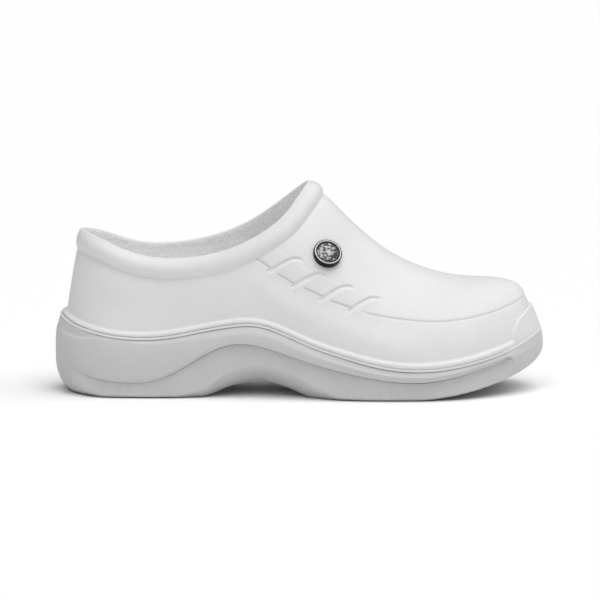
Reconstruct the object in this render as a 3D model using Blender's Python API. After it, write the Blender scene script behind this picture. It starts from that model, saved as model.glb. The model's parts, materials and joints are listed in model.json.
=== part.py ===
"""A closed-heel work clog moulded in white foam, right foot, standing empty on its sole.

Frame of the tables: x runs from the heel back (0) to the toe tip, y is positive on the inner side of the foot,
z is height above the floor, all in millimetres. The root empty moves the origin to the middle of the footprint.
"""

import math

import bmesh
import bpy
import numpy as np
from mathutils import Vector

for old in list(bpy.data.objects):
    bpy.data.objects.remove(old, do_unlink=True)

# ---------------------------------------------------------------- driving sizes (mm)
MM = 0.001
LENGTH = 265.0            # heel back to toe tip
HEEL_ROUND = 36.0         # length over which the heel outline closes
TOE_ROUND = 62.0          # length over which the toe outline closes
TOE_SWING = 4.0           # toe tip's shift towards the inner side
HEEL_LEAN = 0.175         # forward lean of the heel wall, mm per mm of height
HEEL_LEAN_REACH = 85.0    # the lean has faded out here
APEX_X = 138.0            # front of the collar opening
WALL = 3.0                # foam wall of the upper
GAP = 0.3                 # clearance between pieces
TRAY_GAP = 0.5            # clearance under the midsole in the tread tray
COLUMNS = 40              # sections on each side

RIM_SHELF = 4.7           # width of the ledge that carries the upper
BED_WALL = 0.5            # draft of the wall between ledge and footbed
INSOLE_THICK = 4.0
INSOLE_PLAY = 0.5         # clearance of the loose insole in its bed
BAND_INSET = 1.7          # set-back of the ribbed band
BAND_WALL = 3.3           # its thickness
TRAY_FLOOR = 4.0          # thickness of the tread
TRAY_HEEL_X = 11.0        # the tray's two ends
TRAY_TOE_X = 246.0
END_GAP = 1.0             # clearance at its ends
END_FADE = 6.0            # length over which the midsole turns round past the tray
WAVE_TUCK = 1.2           # the midsole's lower lip draws in by this at the wave line
LUG_GROOVE = 3.0          # width of the grooves between the main lugs
LUG_DEPTH = 2.0
LUG_PITCH = 9.5
LUG_EDGE = 9.0            # uncut margin along the sides
LUG_RUNS = ((24.0, 72.0), (148.0, 234.0))   # heel and forefoot, first and last groove

GUARD_STAND = 1.2         # toe guard above the toe
BEAD_STAND = 1.7          # bead round the foot of the upper

BADGE_X, BADGE_Z = 147.2, 76.9   # centre of the rivet on the outer side
BADGE_RADIUS = 7.7
BADGE_THICK = 2.8
BADGE_TILT = (-0.04, 0.16)       # the rivet faces a little more up than the wall
DISC_RADIUS = 6.55
DISC_SINK = 0.9
DISC_THICK = 0.8

# ---------------------------------------------------------------- section tables (mm)
# half-widths are measured from the centre line before the round ends are applied
SOLE_COLUMNS = ("x", "outer_half", "inner_half", "parting", "wave", "edge", "keel", "bevel", "bed")
SOLE_ROWS = (
    (0.0, 33.0, 33.0, 43.8, 15.5, 5.0, 1.0, 3.0, 29.5),
    (10.0, 33.6, 33.5, 38.4, 14.2, 3.2, 0.2, 3.0, 27.6),
    (20.0, 34.1, 33.9, 35.2, 11.2, 2.2, 0.0, 3.0, 26.3),
    (35.0, 34.7, 34.1, 32.4, 8.8, 1.6, 0.0, 3.0, 25.5),
    (50.0, 35.2, 33.7, 31.6, 8.8, 1.3, 0.0, 3.0, 25.3),
    (65.0, 35.7, 32.9, 33.0, 13.7, 1.6, 0.0, 3.2, 25.8),
    (80.0, 36.3, 32.1, 36.0, 22.6, 5.0, 0.3, 6.0, 26.7),
    (95.0, 37.2, 31.7, 38.7, 29.0, 14.3, 4.9, 12.0, 27.3),
    (110.0, 38.7, 32.0, 39.4, 28.6, 18.6, 7.9, 15.0, 26.6),
    (125.0, 40.9, 33.5, 34.8, 24.1, 14.8, 4.8, 13.0, 24.2),
    (140.0, 43.5, 36.1, 28.5, 19.4, 7.4, 0.3, 8.0, 20.6),
    (155.0, 46.0, 39.6, 23.6, 15.5, 1.8, 0.0, 3.5, 16.8),
    (175.0, 48.2, 44.2, 18.3, 11.7, 1.2, 0.0, 3.0, 13.4),
    (195.0, 48.8, 47.2, 16.2, 10.2, 1.3, 0.0, 3.0, 12.2),
    (215.0, 47.4, 47.0, 17.8, 12.6, 3.0, 2.2, 3.0, 12.7),
    (235.0, 43.6, 43.4, 22.0, 17.9, 7.0, 6.2, 3.0, 14.9),
    (250.0, 39.5, 39.4, 26.7, 22.3, 11.7, 10.7, 3.0, 17.8),
    (265.0, 36.0, 36.0, 34.0, 24.8, 18.0, 16.8, 3.0, 21.2),
)

# set-back from the outline: lip at the parting line, wall of the upper, kick edge and its drop; round of the ends, its width and height
EDGE_COLUMNS = ("x", "lip", "wall", "kick", "kick_drop", "end_round", "end_rise")
EDGE_ROWS = (
    (0.0, 2.6, 5.6, 0.8, 7.2, 10.0, 17.0),
    (11.0, 2.3, 5.0, 0.7, 5.3, 10.0, 15.0),
    (24.0, 1.9, 4.2, 0.9, 2.1, 10.0, 12.0),
    (38.0, 1.7, 3.6, 1.1, 0.8, 10.0, 10.0),
    (60.0, 1.6, 3.3, 0.9, 2.0, 10.0, 10.0),
    (130.0, 1.5, 3.2, 0.7, 2.6, 10.0, 10.0),
    (200.0, 1.4, 3.0, 0.6, 2.2, 9.0, 9.0),
    (240.0, 1.0, 2.4, 0.4, 1.8, 8.0, 8.0),
    (265.0, 0.8, 2.0, 0.05, 6.0, 7.5, 7.5),
)

# top line of the upper (carried on above the opening), fullness of the wall, and how far its upper part draws in
LAST_COLUMNS = ("x", "ridge", "fullness", "draw")
LAST_ROWS = (
    (5.0, 116.0, 1.50, 0.0),
    (30.0, 121.0, 1.55, 0.0),
    (60.0, 125.0, 1.60, 0.0),
    (90.0, 126.5, 1.66, 0.0),
    (112.0, 124.0, 1.72, 0.2),
    (126.0, 120.4, 1.82, 0.5),
    (138.0, 113.4, 1.94, 0.75),
    (147.0, 105.8, 2.02, 0.85),
    (155.0, 97.4, 2.06, 0.88),
    (164.0, 88.6, 2.08, 0.85),
    (175.0, 79.4, 2.08, 0.75),
    (187.0, 71.9, 2.06, 0.58),
    (200.0, 66.2, 2.06, 0.36),
    (214.0, 62.5, 2.06, 0.15),
    (229.0, 61.1, 1.98, 0.0),
    (241.0, 60.2, 1.80, 0.0),
    (247.5, 58.4, 1.62, 0.0),
    (252.0, 55.6, 1.48, 0.0),
    (256.0, 49.2, 1.36, 0.0),
    (259.6, 41.4, 1.27, 0.0),
    (263.2, 32.0, 1.20, 0.0),
)

# collar edge: height on the outer side, and how much higher the inner side stands
COLLAR_COLUMNS = ("x", "outer_rim", "inner_rise")
COLLAR_ROWS = (
    (8.0, 87.9, 0.0),
    (16.0, 86.4, 0.0),
    (28.0, 82.6, 0.0),
    (42.0, 77.2, 0.7),
    (58.0, 74.1, 2.4),
    (74.0, 74.5, 3.6),
    (90.0, 77.5, 4.6),
    (104.0, 82.8, 5.3),
    (116.0, 89.7, 6.1),
    (126.0, 98.0, 5.6),
    (133.0, 106.8, 2.6),
    (138.0, 113.4, 0.0),
)

# which share of the collar's length answers to which share of the foot line's length
SPREAD_COLUMNS = ("foot_share", "collar_share")
SPREAD_ROWS = ((0.0, 0.0), (0.12, 0.13), (0.186, 0.225), (0.25, 0.345), (0.38, 0.585), (0.446, 0.68),
               (0.513, 0.745), (0.645, 0.83), (0.78, 0.90), (0.873, 0.945), (1.0, 1.0))

# raised collar band, by distance from the collar edge, and bead by height above the parting line
ROLL_COLUMNS = ("distance", "stand")
ROLL_ROWS = ((0.0, 0.2), (1.6, 0.95), (4.5, 1.5), (8.0, 1.0), (11.5, -0.55), (16.0, -0.1), (20.0, 0.0), (400.0, 0.0))
BEAD_COLUMNS = ("height", "share")
BEAD_ROWS = ((0.0, 0.0), (1.2, 0.2), (1.7, 0.7), (3.0, 1.0), (4.6, 0.45), (7.0, 0.0), (400.0, 0.0))

# front outline of the toe guard in side view
GUARD_COLUMNS = ("z", "x_edge")
GUARD_ROWS = ((0.0, 246.0), (28.0, 246.6), (33.0, 247.2), (38.0, 249.0), (42.0, 252.5), (45.5, 257.5), (47.5, 266.0), (140.0, 400.0))

# colours (linear), roughness, metallic
LOOKS = {
    "upper": ((0.78, 0.78, 0.78), 0.55, 0.0),
    "midsole": ((0.66, 0.66, 0.66), 0.58, 0.0),
    "outsole": ((0.62, 0.62, 0.62), 0.62, 0.0),
    "insole": ((0.78, 0.78, 0.78), 0.75, 0.0),
    "badge_ring": ((0.012, 0.012, 0.012), 0.30, 0.0),
    "badge_disc": ((0.45, 0.45, 0.46), 0.28, 1.0),
}


# ---------------------------------------------------------------- curves through tables
def values(columns, rows, name):
    i = columns.index(name)
    return np.array([row[i] for row in rows], float)


def fair(xs, ys):
    """Natural cubic spline."""
    n, h = len(xs), np.diff(xs)
    a, r = np.eye(n), np.zeros(n)
    for i in range(1, n - 1):
        a[i, i - 1], a[i, i], a[i, i + 1] = h[i - 1], 2 * (h[i - 1] + h[i]), h[i]
        r[i] = 6 * ((ys[i + 1] - ys[i]) / h[i] - (ys[i] - ys[i - 1]) / h[i - 1])
    m = np.linalg.solve(a, r)

    def at(x):
        x = np.clip(np.asarray(x, float), xs[0], xs[-1])
        i = np.clip(np.searchsorted(xs, x, side="right") - 1, 0, n - 2)
        d = h[i]
        p = (xs[i + 1] - x) / d
        q = 1 - p
        return p * ys[i] + q * ys[i + 1] + ((p**3 - p) * m[i] + (q**3 - q) * m[i + 1]) * d * d / 6

    return at


def steady(xs, ys):
    """Cubic curve that never overshoots its table."""
    n, h = len(xs), np.diff(xs)
    d = np.diff(ys) / h
    m = np.zeros(n)
    m[0], m[-1] = d[0], d[-1]
    for i in range(1, n - 1):
        if d[i - 1] * d[i] > 0:
            w1, w2 = 2 * h[i] + h[i - 1], h[i] + 2 * h[i - 1]
            m[i] = (w1 + w2) / (w1 / d[i - 1] + w2 / d[i])

    def at(x):
        x = np.clip(np.asarray(x, float), xs[0], xs[-1])
        i = np.clip(np.searchsorted(xs, x, side="right") - 1, 0, n - 2)
        t = (x - xs[i]) / h[i]
        return (
            ys[i] * (1 + 2 * t) * (1 - t) ** 2
            + m[i] * h[i] * t * (1 - t) ** 2
            + ys[i + 1] * t * t * (3 - 2 * t)
            + m[i + 1] * h[i] * t * t * (t - 1)
        )

    return at


def curve(columns, rows, name, kind=fair):
    return kind(values(columns, rows, columns[0]), values(columns, rows, name))


def ease(a, b, x):
    t = np.clip((np.asarray(x, float) - a) / (b - a), 0, 1)
    return t * t * (3 - 2 * t)


OUTER_HALF = curve(SOLE_COLUMNS, SOLE_ROWS, "outer_half")
INNER_HALF = curve(SOLE_COLUMNS, SOLE_ROWS, "inner_half")
PARTING = curve(SOLE_COLUMNS, SOLE_ROWS, "parting")
WAVE = curve(SOLE_COLUMNS, SOLE_ROWS, "wave")
EDGE = curve(SOLE_COLUMNS, SOLE_ROWS, "edge", steady)
KEEL = curve(SOLE_COLUMNS, SOLE_ROWS, "keel", steady)
BEVEL = curve(SOLE_COLUMNS, SOLE_ROWS, "bevel", steady)
BED = curve(SOLE_COLUMNS, SOLE_ROWS, "bed")
LIP = curve(EDGE_COLUMNS, EDGE_ROWS, "lip", steady)
FOOT = curve(EDGE_COLUMNS, EDGE_ROWS, "wall", steady)
KICK = curve(EDGE_COLUMNS, EDGE_ROWS, "kick", steady)
KICK_DROP = curve(EDGE_COLUMNS, EDGE_ROWS, "kick_drop", steady)
END_ROUND = curve(EDGE_COLUMNS, EDGE_ROWS, "end_round", steady)
END_RISE = curve(EDGE_COLUMNS, EDGE_ROWS, "end_rise", steady)
RIDGE = curve(LAST_COLUMNS, LAST_ROWS, "ridge")
FULLNESS = curve(LAST_COLUMNS, LAST_ROWS, "fullness")
DRAW = curve(LAST_COLUMNS, LAST_ROWS, "draw", steady)
OUTER_RIM = curve(COLLAR_COLUMNS, COLLAR_ROWS, "outer_rim")
INNER_RISE = curve(COLLAR_COLUMNS, COLLAR_ROWS, "inner_rise")
SPREAD = curve(SPREAD_COLUMNS, SPREAD_ROWS, "collar_share", steady)
ROLL = curve(ROLL_COLUMNS, ROLL_ROWS, "stand", steady)
BEAD = curve(BEAD_COLUMNS, BEAD_ROWS, "share", steady)
GUARD_EDGE = curve(GUARD_COLUMNS, GUARD_ROWS, "x_edge", steady)


# ---------------------------------------------------------------- outline of the sole
def centre(x):
    return TOE_SWING * ease(110.0, LENGTH + 25.0, x)


def half(x, side):
    x = np.asarray(x, float)
    a = np.clip((HEEL_ROUND - x) / HEEL_ROUND, 0, 1)
    b = np.clip((x - (LENGTH - TOE_ROUND)) / TOE_ROUND, 0, 1)
    width = np.where(side < 0, OUTER_HALF(x), INNER_HALF(x))
    return width * np.sqrt(1 - a**2.2) * np.sqrt(1 - b**2.3)


def outline(t, side):
    """Point of the outline at t (0 heel back, 1 toe tip); past either end it runs on round the other side."""
    t = np.asarray(t, float)
    x = LENGTH * (1 - np.cos(np.pi * t)) / 2
    turn = np.where((t < 0) | (t > 1), -1.0, 1.0)
    return x, centre(x) + side * turn * half(x, side * turn)


def inset(t, side, depth):
    """Point of the outline moved inwards by depth."""
    e = 1e-4
    x0, y0 = outline(t - e, side)
    x1, y1 = outline(t + e, side)
    tx, ty = x1 - x0, y1 - y0
    size = np.hypot(tx, ty)
    x, y = outline(t, side)
    return x + side * ty / size * depth, y - side * tx / size * depth


def length_share(t):
    """Share of the outline's length from the heel back, mean of both sides."""
    fine = np.linspace(0, 1, 1501)
    total = 0
    for side in (-1, 1):
        x, y = outline(fine, side)
        s = np.concatenate([[0], np.cumsum(np.hypot(np.diff(x), np.diff(y)))])
        total = total + s / s[-1] / 2
    return np.interp(t, fine, total)


def stations(n):
    """n + 1 values of t, closer together on the round ends."""
    fine = np.linspace(0, 1, 1501)
    even = 0.5 * length_share(fine) + 0.5 * fine
    return np.interp(np.linspace(0, 1, n + 1), even, fine)


# ---------------------------------------------------------------- form of the upper
def foot_half_table(side):
    t = np.linspace(0, 1, 1501)
    x, y = inset(t, side, FOOT(outline(t, side)[0]))
    return x, np.abs(y - centre(x))


FOOT_TABLE = {-1: foot_half_table(-1), 1: foot_half_table(1)}
HEEL_X = float(FOOT_TABLE[-1][0][0])


def foot_half(x, side):
    x = np.asarray(x, float)
    outer = np.interp(x, *FOOT_TABLE[-1])
    inner = np.interp(x, *FOOT_TABLE[1])
    return np.where(side < 0, outer, inner)


def lean(x, z):
    """Forward shift of the heel wall."""
    return HEEL_LEAN * (z - PARTING(x)) * (1 - ease(HEEL_X, HEEL_LEAN_REACH, x))


def drawn(x, share):
    """Exponent that draws the wall in at a share of its height; the ridge itself stays round."""
    return 1 + DRAW(x) * (1 - share**5)


def form(x, angle, side):
    """Outer form of the upper: section x, angle 0 at the foot line to a quarter turn on the ridge."""
    low = PARTING(x)
    share = np.clip(np.sin(angle), 0, 1) ** (2 / FULLNESS(x))
    y = foot_half(x, side) * np.clip(np.cos(angle), 0, 1) ** drawn(x, share)
    z = low + (RIDGE(x) - low) * share
    return np.stack([x + lean(x, z), centre(x) + side * y, z], -1)


def rim_angle(x, side):
    z = OUTER_RIM(x)
    for _ in range(4):
        place = x + lean(x, z)
        z = OUTER_RIM(place) + np.where(side > 0, INNER_RISE(place), 0.0)
    share = np.clip((z - PARTING(x)) / (RIDGE(x) - PARTING(x)), 0, 1)
    share = np.where(x >= APEX_X - 1e-9, 1.0, share)
    return np.arcsin(np.clip(share ** (FULLNESS(x) / 2), 0, 1))


def rim_line(side, n=1201):
    x = HEEL_X + (APEX_X - HEEL_X) * (1 - np.cos(np.pi * np.linspace(0, 1, n))) / 2
    p = form(x, rim_angle(x, side), side)
    s = np.concatenate([[0], np.cumsum(np.linalg.norm(np.diff(p, axis=0), axis=1))])
    return x, p, s / s[-1]


RIM = {-1: rim_line(-1), 1: rim_line(1)}


def ring(n):
    """t and side of every column, once round the shoe: outer side to the toe, inner side back to the heel."""
    t = stations(n)
    return np.concatenate([t, t[-2:0:-1]]), np.concatenate([-np.ones(n + 1), np.ones(n - 1)])


def upper_net(n, samples=360):
    """Points and outward normals of the outer form on columns from the foot line to the collar edge."""
    t, side = ring(n)
    s = np.linspace(0, 1, samples)[None, :]
    x_foot, y_foot = inset(t, side, FOOT(outline(t, side)[0]))
    y_foot = np.abs(y_foot - centre(x_foot))
    share = length_share(t)
    x_rim = np.where(side < 0, np.interp(SPREAD(share), RIM[-1][2], RIM[-1][0]), np.interp(SPREAD(share), RIM[1][2], RIM[1][0]))
    a_rim = rim_angle(x_rim, side)
    y_rim = foot_half(x_rim, side) * np.cos(a_rim)
    g = s**1.7
    xa = x_foot[:, None] + (x_rim - x_foot)[:, None] * g
    ya = y_foot[:, None] + (y_rim - y_foot)[:, None] * g
    wide = foot_half(xa, side[:, None])
    aa = np.arccos(np.clip(np.where(wide > 1e-6, ya / np.maximum(wide, 1e-6), 0), 0, 1))
    aa[:, 0] = np.where(share > 1 - 1e-9, math.pi / 2, 0)
    xb = x_foot[:, None] + (x_rim - x_foot)[:, None] * s
    ab = a_rim[:, None] * s
    w = ease(0.22, 0.5, share)[:, None]
    points = form(xb + (xa - xb) * w, ab + (aa - ab) * w, side[:, None] + 0 * s)
    along = np.gradient(points, axis=1)
    round_ = np.roll(points, -1, 0) - np.roll(points, 1, 0)
    normal = np.cross(round_, along)
    normal /= np.maximum(np.linalg.norm(normal, axis=-1, keepdims=True), 1e-12)
    middle = points[:, samples // 3]
    out = middle - np.array([LENGTH / 2, 0, 0])
    if np.sum(normal[:, samples // 3, 1] * out[:, 1]) < 0:
        normal = -normal
    along /= np.maximum(np.linalg.norm(along, axis=-1, keepdims=True), 1e-12)
    step = np.linalg.norm(np.diff(points, axis=1), axis=-1)
    run = np.concatenate([np.zeros((len(t), 1)), np.cumsum(step, axis=1)], 1)
    return t, side, points, normal, along, run


def rim_distance(points):
    line = np.concatenate([RIM[-1][1][::6], RIM[1][1][::-6]])
    flat = points.reshape(-1, 3)
    best = np.full(len(flat), 1e9)
    for a in range(0, len(line), 50):
        best = np.minimum(best, np.linalg.norm(flat[:, None] - line[None, a:a + 50], axis=-1).min(1))
    return best.reshape(points.shape[:-1])


def relief(points, height):
    """How far the moulded features stand off the outer form."""
    x, z = points[..., 0], points[..., 2]
    bead = BEAD_STAND * BEAD(height) * (1 - 0.35 * ease(232, 250, x))
    lip = (FOOT(x) - LIP(x) - 0.1) * (1 - ease(1.1, 1.9, height))
    guard = GUARD_STAND * ease(-0.4, 0.8, x - GUARD_EDGE(z))
    return np.maximum(np.maximum(bead, lip), guard) + ROLL(rim_distance(points))


# ---------------------------------------------------------------- meshes
class Skin:
    """Collects faces between points, one vertex for each place."""

    def __init__(self):
        self.places, self.points, self.faces = {}, [], []

    def at(self, p):
        key = tuple(int(round(float(v) * 2000)) for v in p)
        if key not in self.places:
            self.places[key] = len(self.points)
            self.points.append(tuple(float(v) * MM for v in p))
        return self.places[key]

    def face(self, *corners):
        loop = []
        for i in (self.at(p) for p in corners):
            if i not in loop:
                loop.append(i)
        if len(loop) > 2:
            self.faces.append(loop)

    def quad(self, a, b, c, d):
        self.face(a, b, c)
        self.face(a, c, d)

    def grid(self, rows, flip=False):
        """Faces between neighbouring rows of points."""
        for r0, r1 in zip(rows[:-1], rows[1:]):
            for j in range(len(r0) - 1):
                if flip:
                    self.quad(r0[j + 1], r1[j + 1], r1[j], r0[j])
                else:
                    self.quad(r0[j], r1[j], r1[j + 1], r0[j + 1])

    def finish(self, name):
        mesh = bpy.data.meshes.new(name)
        mesh.from_pydata(self.points, [], self.faces)
        build = bmesh.new()
        build.from_mesh(mesh)
        bmesh.ops.recalc_face_normals(build, faces=build.faces)
        if build.calc_volume(signed=True) < 0:
            bmesh.ops.reverse_faces(build, faces=build.faces)
        build.to_mesh(mesh)
        build.free()
        mesh.shade_smooth()
        mesh.set_sharp_from_angle(angle=math.radians(40))
        return dress(bpy.data.objects.new(name, mesh))


ROOT = bpy.data.objects.new("clog", None)
bpy.context.scene.collection.objects.link(ROOT)


def dress(piece):
    colour, rough, metal = LOOKS[piece.name]
    material = bpy.data.materials.new(piece.name + "_finish")
    material.use_nodes = True
    shader = material.node_tree.nodes["Principled BSDF"]
    shader.inputs["Base Color"].default_value = (*colour, 1.0)
    shader.inputs["Roughness"].default_value = rough
    shader.inputs["Metallic"].default_value = metal
    piece.data.materials.append(material)
    bpy.context.scene.collection.objects.link(piece)
    piece.parent = ROOT
    return piece


def mirrored_rows(rows_by_side, skin):
    """Lays both sides' rows of section points, which share their first and last points."""
    skin.grid(rows_by_side[-1])
    skin.grid(rows_by_side[1], flip=True)


# ---------------------------------------------------------------- upper
def build_upper():
    t, side, points, normal, along, run = upper_net(COLUMNS * 3)
    pick = np.arange(0, len(t), 3)
    foot_rows = (1.3, 1.7, 3.0, 4.6, 7.0)
    rim_rows = (16.0, 11.5, 8.0, 4.5, 1.6, 0.0)
    mid_outer = (0.08, 0.17, 0.27, 0.39, 0.53, 0.69, 0.85)
    mid_inner = (0.82, 0.6, 0.4, 0.22)
    skin, columns = Skin(), []
    for k in pick:
        total = run[k, -1]
        first, last = foot_rows[-1], total - rim_rows[0]
        outer = np.array(foot_rows + tuple(first + (last - first) * m for m in mid_outer) + tuple(total - d for d in rim_rows))
        inner = np.array((total, total - 5.0, total - 13.0) + tuple(first + (last - first) * m for m in mid_inner) + (9.0,))

        def read(field, where):
            return np.stack([np.interp(where, run[k], field[k, :, a]) for a in range(3)], -1)

        form_points, form_normals = read(points, outer), read(normal, outer)
        shell = form_points + form_normals * relief(form_points, outer)[:, None]
        rim_up = along[k, -1]
        crest = points[k, -1] - normal[k, -1] * WALL * 0.42 + rim_up * 0.7
        lining = read(points, inner) - read(normal, inner) * WALL
        x0, y0 = outline(t[k], side[k])
        x1, y1 = inset(t[k], side[k], LIP(x0) + 0.1)
        x2, y2 = inset(t[k], side[k], LIP(x0) + RIM_SHELF - 0.2)
        lip = np.array([[x1, y1, PARTING(x1) + GAP / 2]])
        heel = np.array([[x2, y2, PARTING(x1) + GAP / 2]])
        columns.append(np.concatenate([lip, shell, crest[None], lining, heel, lip]))
    columns.append(columns[0])
    skin.grid(columns)
    return skin.finish("upper")


# ---------------------------------------------------------------- sole pieces
def toward(p, q, share):
    return (p[0] + (q[0] - p[0]) * share, p[1] + (q[1] - p[1]) * share)


def under(x, depth):
    """Height of the tread's underside at a set-back from the outline."""
    slope = np.clip(1 - (depth - BAND_INSET) / BEVEL(x), 0, 1)
    return KEEL(x) + (EDGE(x) - KEEL(x)) * slope


def round_under(x, depth, size, rise):
    """Height of the underside where the midsole itself rounds to the ground."""
    return KEEL(x) + rise * (1 - np.sqrt(np.clip(1 - np.clip(1 - depth / size, 0, 1) ** 2, 0, 1)))


def across(t, depth):
    """Both sides' points at a set-back, and the point halfway between them."""
    ends = {side: tuple(float(v) for v in inset(t, side, depth)) for side in (-1, 1)}
    return ends, toward(ends[-1], ends[1], 0.5)


def bed_rows(t, depth, top):
    """Flat floor points from the middle to the edge, on both sides, at height top(x)."""
    ends, middle = across(t, depth)
    rows = {}
    for side in (-1, 1):
        places = [middle, toward(middle, ends[side], 0.55), ends[side]]
        rows[side] = [(x, y, float(top(x))) for x, y in places]
    return rows


def midsole_section(t, tray, fade=0.0):
    """Section points from the middle of the footbed over the ledge and down the side to the middle of the underside.

    Over the tread tray the side ends in a tucked lip on the wave line; beyond the tray it rounds to the ground.
    fade runs from 0 at the tray's end to 1 where the side is fully round.
    """
    x0 = float(outline(t, -1)[0])
    lip, size, high = float(LIP(x0)), float(END_ROUND(x0)), float(END_RISE(x0))
    floor = bed_rows(t, lip + RIM_SHELF + BED_WALL, BED)
    low_depth = BAND_INSET + BAND_WALL + GAP
    ends, middle = across(t, low_depth)
    wave = float(WAVE(x0)) + GAP / 2
    rise = max(0.0, 1 - (wave - float(KEEL(x0))) / high)
    tuck = WAVE_TUCK + (size * (1 - math.sqrt(1 - rise**2)) - WAVE_TUCK) * fade
    rows = {}
    for side in (-1, 1):
        def at(depth, z):
            x, y = inset(t, side, depth)
            return (float(x), float(y), float(z))

        xl = float(inset(t, side, lip)[0])
        part = float(PARTING(xl)) - GAP / 2
        kick = part - float(KICK_DROP(x0))
        line = floor[side] + [at(lip + RIM_SHELF, part), at(lip, part), at(float(KICK(x0)), kick)]
        line += [at(0.0, wave + 0.52 * (kick - wave)), at(0.3 * tuck, wave + 0.2 * (kick - wave)), at(tuck, wave)]
        span = math.hypot(ends[side][0] - middle[0], ends[side][1] - middle[1])
        if tray:
            line += [at(low_depth, wave), (*ends[side], float(under(ends[side][0], low_depth)) + TRAY_FLOOR + TRAY_GAP)]
            for share in (0.28, 0.6):
                x, y = toward(ends[side], middle, share)
                line.append((x, y, float(under(x, low_depth + span * share)) + TRAY_FLOOR + TRAY_GAP))
            line.append((*middle, float(under(middle[0], low_depth + span)) + TRAY_FLOOR + TRAY_GAP))
        else:
            start, stop = math.acos(1 - tuck / size), math.acos(1 - low_depth / size)
            for share in (0.35, 0.7):
                depth = size * (1 - math.cos(start + (stop - start) * share))
                x, y = inset(t, side, depth)
                line.append((float(x), float(y), float(round_under(x, depth, size, high))))
            for share in (0.0, 0.4, 1.0):
                x, y = toward(ends[side], middle, share)
                line.append((x, y, float(round_under(x, low_depth + span * share, size, high))))
        rows[side] = line
    return rows


def build_midsole(ts):
    skin = Skin()
    x = outline(ts, -1)[0]
    heel, toe = int(np.argmin(abs(x - TRAY_HEEL_X))), int(np.argmin(abs(x - TRAY_TOE_X)))
    sections = []
    for i, t in enumerate(ts):
        away = max(x[heel] - x[i], x[i] - x[toe])
        if i in (heel, toe):
            pair = [midsole_section(t, False), midsole_section(t, True)]
            sections += pair if i == heel else pair[::-1]
        elif away > 0:
            sections.append(midsole_section(t, False, float(ease(0.0, END_FADE, away))))
        else:
            sections.append(midsole_section(t, True))
    mirrored_rows({side: [s[side] for s in sections] for side in (-1, 1)}, skin)
    return skin.finish("midsole"), heel, toe


def outsole_section(t):
    x0 = float(outline(t, -1)[0])
    deep = BAND_INSET + BAND_WALL
    wave = float(WAVE(x0)) - GAP / 2
    bevel = float(BEVEL(x0))
    ends, middle = across(t, deep)
    low_ends, low_middle = across(t, BAND_INSET + bevel)
    rows = {}
    for side in (-1, 1):
        span = math.hypot(ends[side][0] - middle[0], ends[side][1] - middle[1])

        def at(depth, z):
            x, y = inset(t, side, depth)
            return (float(x), float(y), float(z))

        line = [(*middle, float(under(middle[0], deep + span)) + TRAY_FLOOR)]
        for share in (0.6, 0.28):
            x, y = toward(ends[side], middle, share)
            line.append((x, y, float(under(x, deep + span * share)) + TRAY_FLOOR))
        line.append((*ends[side], float(under(ends[side][0], deep)) + TRAY_FLOOR))
        line += [at(deep, wave), at(BAND_INSET, wave)]
        line.append(at(BAND_INSET + 0.2, float(EDGE(x0)) + 0.8))
        line.append(at(BAND_INSET + 0.9, under(x0, BAND_INSET + 0.9)))
        line.append((*low_ends[side], float(KEEL(low_ends[side][0]))))
        x, y = toward(low_ends[side], low_middle, 0.5)
        line.append((x, y, float(KEEL(x))))
        line.append((*low_middle, float(KEEL(low_middle[0]))))
        rows[side] = line[::-1]     # from the underside to the tray floor
    return rows


def build_outsole(ts, heel, toe):
    skin = Skin()
    steps = list(ts[heel:toe + 1])
    for i, shift in ((0, END_GAP), (-1, -END_GAP)):
        x = float(outline(steps[i], -1)[0]) + shift
        steps[i] = math.acos(1 - 2 * x / LENGTH) / math.pi
    sections = [outsole_section(t) for t in steps]
    mirrored_rows({side: [s[side] for s in sections] for side in (-1, 1)}, skin)
    for section in (sections[0], sections[-1]):
        for side in (-1, 1):
            cb, b4, b3, b2, b1, t5, t6, t7, f1, f2, c = section[side]
            skin.face(t6, t5, b1)
            skin.face(t6, b1, t7)
            skin.face(t7, b1, b2)
            skin.face(t7, b2, b3)
            skin.face(t7, b3, f1)
            skin.face(f1, b3, b4)
            skin.face(f1, b4, f2)
            skin.face(f2, b4, cb)
            skin.face(f2, cb, c)
    piece = skin.finish("outsole")
    cutter = Skin()
    for start, stop in LUG_RUNS:
        count = int(round((stop - start) / LUG_PITCH))
        for x in np.linspace(start, stop, count + 1):
            x0, x1 = x - LUG_GROOVE / 2, x + LUG_GROOVE / 2
            y0 = float(centre(x) - half(x, -1)) + LUG_EDGE
            y1 = float(centre(x) + half(x, 1)) - LUG_EDGE
            top, low = float(KEEL(x)) + LUG_DEPTH, float(KEEL(x)) - 6.0
            base = [(x0, y0), (x1, y0), (x1, y1), (x0, y1)]
            for i in range(4):
                a, b = base[i], base[(i + 1) % 4]
                cutter.quad((*a, low), (*b, low), (*b, top), (*a, top))
            cutter.quad(*[(*p, top) for p in base])
            cutter.quad(*[(*p, low) for p in reversed(base)])
    mesh = bpy.data.meshes.new("lug_cutter")
    mesh.from_pydata(cutter.points, [], cutter.faces)
    build = bmesh.new()
    build.from_mesh(mesh)
    bmesh.ops.recalc_face_normals(build, faces=build.faces)
    build.to_mesh(mesh)
    build.free()
    tool = bpy.data.objects.new("lug_cutter", mesh)
    bpy.context.scene.collection.objects.link(tool)
    tool.parent = ROOT
    tool.hide_render = True
    tool.display_type = "WIRE"
    cut = piece.modifiers.new("lugs", "BOOLEAN")
    cut.operation = "DIFFERENCE"
    cut.solver = "EXACT"
    cut.object = tool
    return piece


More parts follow.
